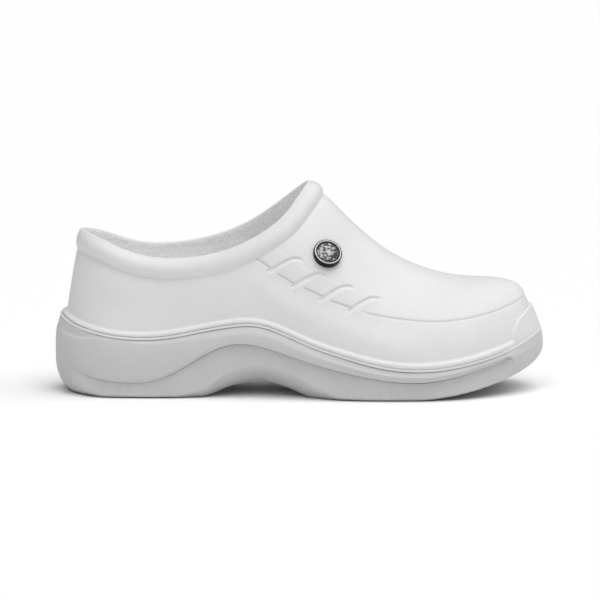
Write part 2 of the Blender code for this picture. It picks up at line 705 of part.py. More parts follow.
def build_insole(ts):
    skin, sections = Skin(), []
    for t in ts:
        depth = float(LIP(outline(t, -1)[0])) + RIM_SHELF + BED_WALL + INSOLE_PLAY
        low = bed_rows(t, depth, lambda x: BED(x) + INSOLE_PLAY)
        top = bed_rows(t, depth + 0.3, lambda x: BED(x) + INSOLE_PLAY + INSOLE_THICK)
        sections.append({side: top[side] + low[side][::-1] for side in (-1, 1)})
    mirrored_rows({side: [s[side] for s in sections] for side in (-1, 1)}, skin)
    return skin.finish("insole")


# ---------------------------------------------------------------- rivet on the outer side
def outer_wall_y(x, z):
    """y of the outer form on the outer side at a given x and height."""
    low = float(PARTING(x))
    share = min(max((z - low) / (float(RIDGE(x)) - low), 0.0), 1.0)
    return float(centre(x) - foot_half(x, -1) * max(0.0, 1 - share ** float(FULLNESS(x))) ** (drawn(x, share) / 2))


def badge_frame():
    p = Vector((BADGE_X, outer_wall_y(BADGE_X, BADGE_Z), BADGE_Z))
    d = 3.0
    ux = Vector((2 * d, outer_wall_y(BADGE_X + d, BADGE_Z) - outer_wall_y(BADGE_X - d, BADGE_Z), 0))
    uz = Vector((0, outer_wall_y(BADGE_X, BADGE_Z + d) - outer_wall_y(BADGE_X, BADGE_Z - d), 2 * d))
    n = ux.cross(uz).normalized()
    if n.y > 0:
        n = -n
    e1 = ux.normalized()
    n = (n + e1 * BADGE_TILT[0] + n.cross(e1) * BADGE_TILT[1]).normalized()
    e1 = (e1 - n * e1.dot(n)).normalized()
    return p, e1, n.cross(e1).normalized(), n


def seat(p, e1, e2, n, radius, angle):
    """Height of the wall under a point of the badge's back, measured along the badge's axis."""
    q = p + (e1 * math.cos(angle) + e2 * math.sin(angle)) * radius
    a, b = -6.0, 6.0
    for _ in range(40):
        m = (a + b) / 2
        r = q + n * m
        if r.y < outer_wall_y(r.x, r.z):
            b = m
        else:
            a = m
    return (a + b) / 2


def build_badge(sides=40):
    p, e1, e2, n = badge_frame()
    angles = [2 * math.pi * i / sides for i in range(sides)]

    def spot(radius, angle, height):
        return tuple(p + (e1 * math.cos(angle) + e2 * math.sin(angle)) * radius + n * height)

    ring_skin, rows = Skin(), []
    for a in angles + angles[:1]:
        rows.append([
            tuple(p + n * (seat(p, e1, e2, n, 0.0, 0.0) + GAP)),
            spot(4.0, a, seat(p, e1, e2, n, 4.0, a) + GAP),
            spot(BADGE_RADIUS - 0.3, a, seat(p, e1, e2, n, BADGE_RADIUS - 0.3, a) + GAP),
            spot(BADGE_RADIUS, a, seat(p, e1, e2, n, BADGE_RADIUS, a) + GAP + 0.4),
            spot(BADGE_RADIUS, a, BADGE_THICK - 0.5),
            spot(BADGE_RADIUS - 0.5, a, BADGE_THICK),
            spot(DISC_RADIUS + GAP, a, BADGE_THICK),
            spot(DISC_RADIUS + GAP, a, BADGE_THICK - DISC_SINK - GAP),
            spot(3.0, a, BADGE_THICK - DISC_SINK - GAP),
            tuple(p + n * (BADGE_THICK - DISC_SINK - GAP)),
        ])
    ring_skin.grid(rows)
    disc_skin, rows = Skin(), []
    base = BADGE_THICK - DISC_SINK
    for a in angles + angles[:1]:
        rows.append([
            tuple(p + n * base),
            spot(DISC_RADIUS, a, base),
            spot(DISC_RADIUS, a, base + DISC_THICK - 0.2),
            spot(DISC_RADIUS - 0.3, a, base + DISC_THICK),
            spot(DISC_RADIUS * 0.5, a, base + DISC_THICK + 0.25),
            tuple(p + n * (base + DISC_THICK + 0.35)),
        ])
    disc_skin.grid(rows)
    return ring_skin.finish("badge_ring"), disc_skin.finish("badge_disc")


# ---------------------------------------------------------------- the clog
STATIONS = stations(COLUMNS)
build_upper()
MIDSOLE, HEEL_COLUMN, TOE_COLUMN = build_midsole(STATIONS)
build_outsole(STATIONS, HEEL_COLUMN, TOE_COLUMN)
build_insole(STATIONS)
build_badge()

# the origin goes to the middle of the footprint, on the floor
corners = [v.co for v in MIDSOLE.data.vertices]
low_x, high_x = min(c.x for c in corners), max(c.x for c in corners)
low_y, high_y = min(c.y for c in corners), max(c.y for c in corners)
ROOT.location = (-(low_x + high_x) / 2, -(low_y + high_y) / 2, 0.0)
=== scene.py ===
"""Looks of the white foam work clog: fine meshes, materials, floor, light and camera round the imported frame.

Frame of the tables: x runs from the heel back (0) to the toe tip, y is positive on the inner side of the foot,
z is height above the floor, all in millimetres. Every mesh is moved to the frame's own origin and to metres at the end.
"""

import json
import math

import bmesh
import bpy
import numpy as np
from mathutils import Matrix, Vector
from mathutils.kdtree import KDTree

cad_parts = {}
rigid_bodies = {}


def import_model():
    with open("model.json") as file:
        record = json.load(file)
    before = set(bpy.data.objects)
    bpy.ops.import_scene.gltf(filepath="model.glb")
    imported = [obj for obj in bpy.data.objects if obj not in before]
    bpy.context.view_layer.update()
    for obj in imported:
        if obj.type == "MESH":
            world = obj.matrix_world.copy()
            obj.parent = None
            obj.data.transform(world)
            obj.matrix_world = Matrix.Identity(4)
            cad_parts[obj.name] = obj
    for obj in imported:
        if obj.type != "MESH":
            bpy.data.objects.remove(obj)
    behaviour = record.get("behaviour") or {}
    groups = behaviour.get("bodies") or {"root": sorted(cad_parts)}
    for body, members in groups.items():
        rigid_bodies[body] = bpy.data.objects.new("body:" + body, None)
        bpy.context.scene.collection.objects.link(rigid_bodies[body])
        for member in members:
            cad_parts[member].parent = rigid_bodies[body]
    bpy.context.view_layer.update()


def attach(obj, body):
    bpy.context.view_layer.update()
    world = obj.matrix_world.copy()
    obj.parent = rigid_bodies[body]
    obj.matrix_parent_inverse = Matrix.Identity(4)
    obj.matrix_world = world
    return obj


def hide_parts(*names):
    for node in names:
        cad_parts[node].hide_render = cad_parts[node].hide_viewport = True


for old in list(bpy.data.objects):
    bpy.data.objects.remove(old, do_unlink=True)

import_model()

# ---------------------------------------------------------------- driving sizes (mm)
MM = 0.001
LENGTH = 265.0            # heel back to toe tip
HEEL_ROUND = 36.0         # length over which the heel outline closes
TOE_ROUND = 62.0          # length over which the toe outline closes
TOE_SWING = 4.0           # toe tip's shift towards the inner side
HEEL_LEAN = 0.175         # forward lean of the heel wall, mm per mm of height
HEEL_LEAN_REACH = 85.0    # the lean has faded out here
APEX_X = 138.0            # front of the collar opening
WALL = 3.0                # foam wall of the upper
GAP = 0.3                 # clearance between pieces
TRAY_GAP = 0.5            # clearance under the midsole in the tread tray
COLUMNS = 40              # sections on each side

RIM_SHELF = 4.7           # width of the ledge that carries the upper
BED_WALL = 0.5            # draft of the wall between ledge and footbed
INSOLE_THICK = 4.0
INSOLE_PLAY = 0.5         # clearance of the loose insole in its bed
BAND_INSET = 1.7          # set-back of the ribbed band
BAND_WALL = 3.3           # its thickness
TRAY_FLOOR = 4.0          # thickness of the tread
TRAY_HEEL_X = 11.0        # the tray's two ends
TRAY_TOE_X = 246.0
END_GAP = 1.0             # clearance at its ends
END_FADE = 6.0            # length over which the midsole turns round past the tray
WAVE_TUCK = 1.2           # the midsole's lower lip draws in by this at the wave line
LUG_GROOVE = 3.0          # width of the grooves between the main lugs
LUG_DEPTH = 2.0
LUG_PITCH = 9.5
LUG_EDGE = 9.0            # uncut margin along the sides
LUG_RUNS = ((24.0, 72.0), (148.0, 234.0))   # heel and forefoot, first and last groove

GUARD_STAND = 1.2         # toe guard above the toe
BEAD_STAND = 1.7          # bead round the foot of the upper

BADGE_X, BADGE_Z = 147.2, 76.9   # centre of the rivet on the outer side
BADGE_RADIUS = 7.7
BADGE_THICK = 2.8
BADGE_TILT = (-0.04, 0.16)       # the rivet faces a little more up than the wall
DISC_RADIUS = 6.55
DISC_SINK = 0.9
DISC_THICK = 0.8

# ---------------------------------------------------------------- section tables (mm)
# half-widths are measured from the centre line before the round ends are applied
SOLE_COLUMNS = ("x", "outer_half", "inner_half", "parting", "wave", "edge", "keel", "bevel", "bed")
SOLE_ROWS = (
    (0.0, 33.0, 33.0, 43.8, 15.5, 5.0, 1.0, 3.0, 29.5),
    (10.0, 33.6, 33.5, 38.4, 14.2, 3.2, 0.2, 3.0, 27.6),
    (20.0, 34.1, 33.9, 35.2, 11.2, 2.2, 0.0, 3.0, 26.3),
    (35.0, 34.7, 34.1, 32.4, 8.8, 1.6, 0.0, 3.0, 25.5),
    (50.0, 35.2, 33.7, 31.6, 8.8, 1.3, 0.0, 3.0, 25.3),
    (65.0, 35.7, 32.9, 33.0, 13.7, 1.6, 0.0, 3.2, 25.8),
    (80.0, 36.3, 32.1, 36.0, 22.6, 5.0, 0.3, 6.0, 26.7),
    (95.0, 37.2, 31.7, 38.7, 29.0, 14.3, 4.9, 12.0, 27.3),
    (110.0, 38.7, 32.0, 39.4, 28.6, 18.6, 7.9, 15.0, 26.6),
    (125.0, 40.9, 33.5, 34.8, 24.1, 14.8, 4.8, 13.0, 24.2),
    (140.0, 43.5, 36.1, 28.5, 19.4, 7.4, 0.3, 8.0, 20.6),
    (155.0, 46.0, 39.6, 23.6, 15.5, 1.8, 0.0, 3.5, 16.8),
    (175.0, 48.2, 44.2, 18.3, 11.7, 1.2, 0.0, 3.0, 13.4),
    (195.0, 48.8, 47.2, 16.2, 10.2, 1.3, 0.0, 3.0, 12.2),
    (215.0, 47.4, 47.0, 17.8, 12.6, 3.0, 2.2, 3.0, 12.7),
    (235.0, 43.6, 43.4, 22.0, 17.9, 7.0, 6.2, 3.0, 14.9),
    (250.0, 39.5, 39.4, 26.7, 22.3, 11.7, 10.7, 3.0, 17.8),
    (265.0, 36.0, 36.0, 34.0, 24.8, 18.0, 16.8, 3.0, 21.2),
)

# set-back from the outline: lip at the parting line, wall of the upper, kick edge and its drop; round of the ends, its width and height
EDGE_COLUMNS = ("x", "lip", "wall", "kick", "kick_drop", "end_round", "end_rise")
EDGE_ROWS = (
    (0.0, 2.6, 5.6, 0.8, 7.2, 10.0, 17.0),
    (11.0, 2.3, 5.0, 0.7, 5.3, 10.0, 15.0),
    (24.0, 1.9, 4.2, 0.9, 2.1, 10.0, 12.0),
    (38.0, 1.7, 3.6, 1.1, 0.8, 10.0, 10.0),
    (60.0, 1.6, 3.3, 0.9, 2.0, 10.0, 10.0),
    (130.0, 1.5, 3.2, 0.7, 2.6, 10.0, 10.0),
    (200.0, 1.4, 3.0, 0.6, 2.2, 9.0, 9.0),
    (240.0, 1.0, 2.4, 0.4, 1.8, 8.0, 8.0),
    (265.0, 0.8, 2.0, 0.05, 6.0, 7.5, 7.5),
)

# top line of the upper (carried on above the opening), fullness of the wall, and how far its upper part draws in
LAST_COLUMNS = ("x", "ridge", "fullness", "draw")
LAST_ROWS = (
    (5.0, 116.0, 1.50, 0.0),
    (30.0, 121.0, 1.55, 0.0),
    (60.0, 125.0, 1.60, 0.0),
    (90.0, 126.5, 1.66, 0.0),
    (112.0, 124.0, 1.72, 0.2),
    (126.0, 120.4, 1.82, 0.5),
    (138.0, 113.4, 1.94, 0.75),
    (147.0, 105.8, 2.02, 0.85),
    (155.0, 97.4, 2.06, 0.88),
    (164.0, 88.6, 2.08, 0.85),
    (175.0, 79.4, 2.08, 0.75),
    (187.0, 71.9, 2.06, 0.58),
    (200.0, 66.2, 2.06, 0.36),
    (214.0, 62.5, 2.06, 0.15),
    (229.0, 61.1, 1.98, 0.0),
    (241.0, 60.2, 1.80, 0.0),
    (247.5, 58.4, 1.62, 0.0),
    (252.0, 55.6, 1.48, 0.0),
    (256.0, 49.2, 1.36, 0.0),
    (259.6, 41.4, 1.27, 0.0),
    (263.2, 32.0, 1.20, 0.0),
)

# collar edge: height on the outer side, and how much higher the inner side stands
COLLAR_COLUMNS = ("x", "outer_rim", "inner_rise")
COLLAR_ROWS = (
    (8.0, 87.9, 0.0),
    (16.0, 86.4, 0.0),
    (28.0, 82.6, 0.0),
    (42.0, 77.2, 0.7),
    (58.0, 74.1, 2.4),
    (74.0, 74.5, 3.6),
    (90.0, 77.5, 4.6),
    (104.0, 82.8, 5.3),
    (116.0, 89.7, 6.1),
    (126.0, 98.0, 5.6),
    (133.0, 106.8, 2.6),
    (138.0, 113.4, 0.0),
)

# which share of the collar's length answers to which share of the foot line's length
SPREAD_COLUMNS = ("foot_share", "collar_share")
SPREAD_ROWS = ((0.0, 0.0), (0.12, 0.13), (0.186, 0.225), (0.25, 0.345), (0.38, 0.585), (0.446, 0.68),
               (0.513, 0.745), (0.645, 0.83), (0.78, 0.90), (0.873, 0.945), (1.0, 1.0))

# raised collar band, by distance from the collar edge, and bead by height above the parting line
ROLL_COLUMNS = ("distance", "stand")
ROLL_ROWS = ((0.0, 0.2), (1.6, 0.95), (4.5, 1.5), (8.0, 1.0), (11.5, -0.55), (16.0, -0.1), (20.0, 0.0), (400.0, 0.0))
BEAD_COLUMNS = ("height", "share")
BEAD_ROWS = ((0.0, 0.0), (1.2, 0.2), (1.7, 0.7), (3.0, 1.0), (4.6, 0.45), (7.0, 0.0), (400.0, 0.0))

# front outline of the toe guard in side view
GUARD_COLUMNS = ("z", "x_edge")
GUARD_ROWS = ((0.0, 246.0), (28.0, 246.6), (33.0, 247.2), (38.0, 249.0), (42.0, 252.5), (45.5, 257.5), (47.5, 266.0), (140.0, 400.0))

# colours (linear), roughness, metallic
LOOKS = {
    "upper": ((0.78, 0.78, 0.78), 0.55, 0.0),
    "midsole": ((0.66, 0.66, 0.66), 0.58, 0.0),
    "outsole": ((0.62, 0.62, 0.62), 0.62, 0.0),
    "insole": ((0.78, 0.78, 0.78), 0.75, 0.0),
    "badge_ring": ((0.012, 0.012, 0.012), 0.30, 0.0),
    "badge_disc": ((0.45, 0.45, 0.46), 0.28, 1.0),
}


# ---------------------------------------------------------------- curves through tables
def values(columns, rows, name):
    i = columns.index(name)
    return np.array([row[i] for row in rows], float)


def fair(xs, ys):
    """Natural cubic spline."""
    n, h = len(xs), np.diff(xs)
    a, r = np.eye(n), np.zeros(n)
    for i in range(1, n - 1):
        a[i, i - 1], a[i, i], a[i, i + 1] = h[i - 1], 2 * (h[i - 1] + h[i]), h[i]
        r[i] = 6 * ((ys[i + 1] - ys[i]) / h[i] - (ys[i] - ys[i - 1]) / h[i - 1])
    m = np.linalg.solve(a, r)

    def at(x):
        x = np.clip(np.asarray(x, float), xs[0], xs[-1])
        i = np.clip(np.searchsorted(xs, x, side="right") - 1, 0, n - 2)
        d = h[i]
        p = (xs[i + 1] - x) / d
        q = 1 - p
        return p * ys[i] + q * ys[i + 1] + ((p**3 - p) * m[i] + (q**3 - q) * m[i + 1]) * d * d / 6

    return at


def steady(xs, ys):
    """Cubic curve that never overshoots its table."""
    n, h = len(xs), np.diff(xs)
    d = np.diff(ys) / h
    m = np.zeros(n)
    m[0], m[-1] = d[0], d[-1]
    for i in range(1, n - 1):
        if d[i - 1] * d[i] > 0:
            w1, w2 = 2 * h[i] + h[i - 1], h[i] + 2 * h[i - 1]
            m[i] = (w1 + w2) / (w1 / d[i - 1] + w2 / d[i])

    def at(x):
        x = np.clip(np.asarray(x, float), xs[0], xs[-1])
        i = np.clip(np.searchsorted(xs, x, side="right") - 1, 0, n - 2)
        t = (x - xs[i]) / h[i]
        return (
            ys[i] * (1 + 2 * t) * (1 - t) ** 2
            + m[i] * h[i] * t * (1 - t) ** 2
            + ys[i + 1] * t * t * (3 - 2 * t)
            + m[i + 1] * h[i] * t * t * (t - 1)
        )

    return at


def curve(columns, rows, name, kind=fair):
    return kind(values(columns, rows, columns[0]), values(columns, rows, name))


def ease(a, b, x):
    t = np.clip((np.asarray(x, float) - a) / (b - a), 0, 1)
    return t * t * (3 - 2 * t)


OUTER_HALF = curve(SOLE_COLUMNS, SOLE_ROWS, "outer_half")
INNER_HALF = curve(SOLE_COLUMNS, SOLE_ROWS, "inner_half")
PARTING = curve(SOLE_COLUMNS, SOLE_ROWS, "parting")
WAVE = curve(SOLE_COLUMNS, SOLE_ROWS, "wave")
EDGE = curve(SOLE_COLUMNS, SOLE_ROWS, "edge", steady)
KEEL = curve(SOLE_COLUMNS, SOLE_ROWS, "keel", steady)
BEVEL = curve(SOLE_COLUMNS, SOLE_ROWS, "bevel", steady)
BED = curve(SOLE_COLUMNS, SOLE_ROWS, "bed")
LIP = curve(EDGE_COLUMNS, EDGE_ROWS, "lip", steady)
FOOT = curve(EDGE_COLUMNS, EDGE_ROWS, "wall", steady)
KICK = curve(EDGE_COLUMNS, EDGE_ROWS, "kick", steady)
KICK_DROP = curve(EDGE_COLUMNS, EDGE_ROWS, "kick_drop", steady)
END_ROUND = curve(EDGE_COLUMNS, EDGE_ROWS, "end_round", steady)
END_RISE = curve(EDGE_COLUMNS, EDGE_ROWS, "end_rise", steady)
RIDGE = curve(LAST_COLUMNS, LAST_ROWS, "ridge")
FULLNESS = curve(LAST_COLUMNS, LAST_ROWS, "fullness")
DRAW = curve(LAST_COLUMNS, LAST_ROWS, "draw", steady)
OUTER_RIM = curve(COLLAR_COLUMNS, COLLAR_ROWS, "outer_rim")
INNER_RISE = curve(COLLAR_COLUMNS, COLLAR_ROWS, "inner_rise")
SPREAD = curve(SPREAD_COLUMNS, SPREAD_ROWS, "collar_share", steady)
ROLL = curve(ROLL_COLUMNS, ROLL_ROWS, "stand", steady)
BEAD = curve(BEAD_COLUMNS, BEAD_ROWS, "share", steady)
GUARD_EDGE = curve(GUARD_COLUMNS, GUARD_ROWS, "x_edge", steady)


# ---------------------------------------------------------------- outline of the sole
def centre(x):
    return TOE_SWING * ease(110.0, LENGTH + 25.0, x)


def half(x, side):
    x = np.asarray(x, float)
    a = np.clip((HEEL_ROUND - x) / HEEL_ROUND, 0, 1)
    b = np.clip((x - (LENGTH - TOE_ROUND)) / TOE_ROUND, 0, 1)
    width = np.where(side < 0, OUTER_HALF(x), INNER_HALF(x))
    return width * np.sqrt(1 - a**2.2) * np.sqrt(1 - b**2.3)


def outline(t, side):
    """Point of the outline at t (0 heel back, 1 toe tip); past either end it runs on round the other side."""
    t = np.asarray(t, float)
    x = LENGTH * (1 - np.cos(np.pi * t)) / 2
    turn = np.where((t < 0) | (t > 1), -1.0, 1.0)
    return x, centre(x) + side * turn * half(x, side * turn)


def inset(t, side, depth):
    """Point of the outline moved inwards by depth."""
    e = 1e-4
    x0, y0 = outline(t - e, side)
    x1, y1 = outline(t + e, side)
    tx, ty = x1 - x0, y1 - y0
    size = np.hypot(tx, ty)
    x, y = outline(t, side)
    return x + side * ty / size * depth, y - side * tx / size * depth


def length_share(t):
    """Share of the outline's length from the heel back, mean of both sides."""
    fine = np.linspace(0, 1, 1501)
    total = 0
    for side in (-1, 1):
        x, y = outline(fine, side)
        s = np.concatenate([[0], np.cumsum(np.hypot(np.diff(x), np.diff(y)))])
        total = total + s / s[-1] / 2
    return np.interp(t, fine, total)


def stations(n):
    """n + 1 values of t, closer together on the round ends."""
    fine = np.linspace(0, 1, 1501)
    even = 0.5 * length_share(fine) + 0.5 * fine
    return np.interp(np.linspace(0, 1, n + 1), even, fine)


# ---------------------------------------------------------------- form of the upper
def foot_half_table(side):
    t = np.linspace(0, 1, 1501)
    x, y = inset(t, side, FOOT(outline(t, side)[0]))
    return x, np.abs(y - centre(x))


FOOT_TABLE = {-1: foot_half_table(-1), 1: foot_half_table(1)}
HEEL_X = float(FOOT_TABLE[-1][0][0])


def foot_half(x, side):
    x = np.asarray(x, float)
    outer = np.interp(x, *FOOT_TABLE[-1])
    inner = np.interp(x, *FOOT_TABLE[1])
    return np.where(side < 0, outer, inner)


def lean(x, z):
    """Forward shift of the heel wall."""
    return HEEL_LEAN * (z - PARTING(x)) * (1 - ease(HEEL_X, HEEL_LEAN_REACH, x))


def drawn(x, share):
    """Exponent that draws the wall in at a share of its height; the ridge itself stays round."""
    return 1 + DRAW(x) * (1 - share**5)


def form(x, angle, side):
    """Outer form of the upper: section x, angle 0 at the foot line to a quarter turn on the ridge."""
    low = PARTING(x)
    share = np.clip(np.sin(angle), 0, 1) ** (2 / FULLNESS(x))
    y = foot_half(x, side) * np.clip(np.cos(angle), 0, 1) ** drawn(x, share)
    z = low + (RIDGE(x) - low) * share
    return np.stack([x + lean(x, z), centre(x) + side * y, z], -1)


def rim_angle(x, side):
    z = OUTER_RIM(x)
    for _ in range(4):
        place = x + lean(x, z)
        z = OUTER_RIM(place) + np.where(side > 0, INNER_RISE(place), 0.0)
    share = np.clip((z - PARTING(x)) / (RIDGE(x) - PARTING(x)), 0, 1)
    share = np.where(x >= APEX_X - 1e-9, 1.0, share)
    return np.arcsin(np.clip(share ** (FULLNESS(x) / 2), 0, 1))


def rim_line(side, n=1201):
    x = HEEL_X + (APEX_X - HEEL_X) * (1 - np.cos(np.pi * np.linspace(0, 1, n))) / 2
    p = form(x, rim_angle(x, side), side)
    s = np.concatenate([[0], np.cumsum(np.linalg.norm(np.diff(p, axis=0), axis=1))])
    return x, p, s / s[-1]


RIM = {-1: rim_line(-1), 1: rim_line(1)}


def ring(n):
    """t and side of every column, once round the shoe: outer side to the toe, inner side back to the heel."""
    t = stations(n)
    return np.concatenate([t, t[-2:0:-1]]), np.concatenate([-np.ones(n + 1), np.ones(n - 1)])


def upper_net(n, samples=360):
    """Points and outward normals of the outer form on columns from the foot line to the collar edge."""
    t, side = ring(n)
    s = np.linspace(0, 1, samples)[None, :]
    x_foot, y_foot = inset(t, side, FOOT(outline(t, side)[0]))
    y_foot = np.abs(y_foot - centre(x_foot))
    share = length_share(t)
    x_rim = np.where(side < 0, np.interp(SPREAD(share), RIM[-1][2], RIM[-1][0]), np.interp(SPREAD(share), RIM[1][2], RIM[1][0]))
    a_rim = rim_angle(x_rim, side)
    y_rim = foot_half(x_rim, side) * np.cos(a_rim)
    g = s**1.7
    xa = x_foot[:, None] + (x_rim - x_foot)[:, None] * g
    ya = y_foot[:, None] + (y_rim - y_foot)[:, None] * g
    wide = foot_half(xa, side[:, None])
    aa = np.arccos(np.clip(np.where(wide > 1e-6, ya / np.maximum(wide, 1e-6), 0), 0, 1))
    aa[:, 0] = np.where(share > 1 - 1e-9, math.pi / 2, 0)
    xb = x_foot[:, None] + (x_rim - x_foot)[:, None] * s
    ab = a_rim[:, None] * s
    w = ease(0.22, 0.5, share)[:, None]
    points = form(xb + (xa - xb) * w, ab + (aa - ab) * w, side[:, None] + 0 * s)
    along = np.gradient(points, axis=1)
    round_ = np.roll(points, -1, 0) - np.roll(points, 1, 0)
    normal = np.cross(round_, along)
    normal /= np.maximum(np.linalg.norm(normal, axis=-1, keepdims=True), 1e-12)
    middle = points[:, samples // 3]
    out = middle - np.array([LENGTH / 2, 0, 0])
    if np.sum(normal[:, samples // 3, 1] * out[:, 1]) < 0:
        normal = -normal
    along /= np.maximum(np.linalg.norm(along, axis=-1, keepdims=True), 1e-12)
    step = np.linalg.norm(np.diff(points, axis=1), axis=-1)
    run = np.concatenate([np.zeros((len(t), 1)), np.cumsum(step, axis=1)], 1)
    return t, side, points, normal, along, run


def rim_distance(points):
    line = np.concatenate([RIM[-1][1][::6], RIM[1][1][::-6]])
    flat = points.reshape(-1, 3)
    best = np.full(len(flat), 1e9)
    for a in range(0, len(line), 50):
        best = np.minimum(best, np.linalg.norm(flat[:, None] - line[None, a:a + 50], axis=-1).min(1))
    return best.reshape(points.shape[:-1])


def relief(points, height):
    """How far the moulded features stand off the outer form."""
    x, z = points[..., 0], points[..., 2]
    bead = BEAD_STAND * BEAD(height) * (1 - 0.35 * ease(232, 250, x))
    lip = (FOOT(x) - LIP(x) - 0.1) * (1 - ease(1.1, 1.9, height))
    guard = GUARD_STAND * ease(-0.4, 0.8, x - GUARD_EDGE(z))
    return np.maximum(np.maximum(bead, lip), guard) + ROLL(rim_distance(points))


# ---------------------------------------------------------------- fine sizes and tables for the looks (mm)
OUTER_COLUMNS, INNER_COLUMNS = 342, 160    # columns of the fine upper on each side
MID_ROWS = 126                             # its rows between the bead and the collar
LINING_ROWS = 19
SOLE_STEPS = 300                           # columns of the midsole on each side
RIB_PITCH = 1.1                            # upright ribs of the tread's side band
RIB_STAND = 0.18
RIB_FROM, RIB_TO = (16.0, 30.0), (196.0, 214.0)   # they fade in and out over these lengths
BAND_TOP_GAP = 0.1                         # between the ribbed band and the lip above it
LIP_OVER = 0.15                            # that lip stands over the band by this
LIP_ROUND = 2.3                            # round of the midsole's lip over the band
LIP_FROM, LIP_TO = math.radians(8.0), math.radians(80.0)   # its slope at both ends of that round
CORNER_RUN, CORNER_DROP = 3.2, 3.8         # the lip turns down at the band's toe end
TRAY_FROM, TRAY_TO = 9.02, 247.7           # ends of the tread as they show on the side
OVERHANG = 0.27                            # the upper's lip stands over the midsole by this
CREST = 1.25                               # round of the collar edge above its outer corner
MOC_DEPTH, MOC_WIDTH = 0.25, 0.4           # crease that runs round the toe
PLUG_STAND = 0.45                          # the toe plug stands proud of it
DIVE_DEPTH, DIVE_WIDTH = 0.7, 0.7          # embossed lacing: buried edge of a tab
DIVE_REACH, DIVE_SLOPE = 2.5, 0.35         # and the slope down to that edge
STRAND_STAND, STRAND_WIDTH = 0.2, 5.5      # the strand beside it
CREASE_DEPTH, CREASE_WIDTH, CREASE_BANK = 0.95, 0.65, 2.3   # and the crease above the strand

# line in side view that carries the lacing's buried edges and then the toe crease
THROAT_COLUMNS = ("x", "z")
THROAT_ROWS = (
    (100.0, 81.6),
    (109.7, 74.8),
    (117.4, 69.6),
    (130.3, 62.2),
    (145.3, 55.4),
    (160.3, 49.9),
    (166.0, 47.6),
    (178.7, 44.5),
    (191.5, 42.6),
    (204.4, 41.7),
    (217.3, 42.3),
    (230.5, 44.3),
    (244.0, 47.5),
    (251.0, 49.9),
    (254.2, 51.2),
    (262.0, 54.2),
)
THROAT = curve(THROAT_COLUMNS, THROAT_ROWS, "z")
MOC_FADE = (163.0, 171.0)                  # the crease fades in here

# embossed lacing in side view: each step's buried edge from a to b, and the strand's curl through its own points
LACE_STEPS = (
    {"a": (108.9, 75.4), "b": (117.4, 69.6), "stand": 0.2, "curl": ((114.8, 68.3), (117.6, 69.7), (123.2, 72.9), (127.8, 74.9), (131.4, 75.3), (134.4, 73.8))},
    {"a": (120.5, 67.1), "b": (130.3, 61.4), "stand": 0.2, "curl": ((128.1, 60.4), (130.8, 62.4), (136.9, 65.5), (141.0, 67.1), (144.1, 67.5), (147.6, 66.2))},
    {"a": (134.5, 60.0), "b": (145.3, 55.0), "stand": 0.12, "curl": ((142.8, 53.3), (145.6, 55.4), (150.6, 58.3), (154.2, 60.1), (158.3, 60.7), (161.9, 59.5))},
    {"a": (149.2, 53.2), "b": (160.3, 49.5), "stand": 0.1, "curl": ((158.3, 47.6), (161.0, 49.9), (165.9, 52.7), (169.5, 54.1), (173.0, 54.4), (176.3, 53.0))},
)
TAB_REACH = (9.5, 5.5)                     # from the buried edge to the free edge of a tab

FINE_ROLL_ROWS = ((0.0, 0.15), (1.0, 0.8), (2.5, 1.4), (4.3, 1.8), (5.8, 1.78), (7.0, 1.47), (8.1, 0.88), (8.9, 0.22), (9.5, -0.36),
                  (9.95, -0.68), (10.4, -0.74), (11.2, -0.58), (12.6, -0.4), (15.0, -0.2), (18.0, -0.05), (21.0, 0.0), (400.0, 0.0))
FINE_ROLL = curve(ROLL_COLUMNS, FINE_ROLL_ROWS, "stand", steady)
FINE_BEAD_ROWS = ((0.0, 0.0), (1.25, 0.3), (1.5, 0.62), (1.9, 0.86), (2.5, 0.98), (3.1, 1.0), (3.8, 0.92), (4.4, 0.7), (4.9, 0.4),
                  (5.3, 0.16), (5.8, 0.03), (6.4, 0.0), (400.0, 0.0))
FINE_BEAD = curve(BEAD_COLUMNS, FINE_BEAD_ROWS, "share", steady)

# edge of the toe guard in side view
FINE_GUARD_ROWS = ((0.0, 246.0), (28.0, 246.5), (33.0, 246.8), (38.0, 248.2), (42.0, 251.7), (45.5, 257.0), (47.5, 266.0), (140.0, 400.0))
FINE_GUARD = curve(GUARD_COLUMNS, FINE_GUARD_ROWS, "x_edge", steady)

# wall between the parting line and the kick edge at the heel: share of the drop and of the way out
LEDGE_COLUMNS = ("drop", "way_out")
LEDGE_ROWS = ((0.15, 0.07), (0.35, 0.17), (0.55, 0.27), (0.7, 0.34), (0.79, 0.4), (0.86, 0.52), (0.92, 0.71), (0.97, 0.89))
LEDGE_REACH = (24.0, 48.0)                 # further forward the wall runs out evenly, and so it does
LEDGE_REAR = (1.0, 7.0)                    # at the very back
HOLLOW_X, HOLLOW_Z, HOLLOW_DEPTH, HOLLOW_LONG, HOLLOW_HIGH = 33.0, 47.0, 1.0, 20.0, 9.0   # soft hollow on the heel's sides
FOLD_STAND, FOLD_ROWS = 0.6, (-32.0, -16.0, -3.0, 24.0)   # the wall swells softly below the lacing line and draws in above it

SHIFT_STATIONS = stations(COLUMNS)
SHIFT = np.array([
    -LENGTH / 2,
    -(outline(SHIFT_STATIONS, -1)[1].min() + outline(SHIFT_STATIONS, 1)[1].max()) / 2,
    0.0,
])


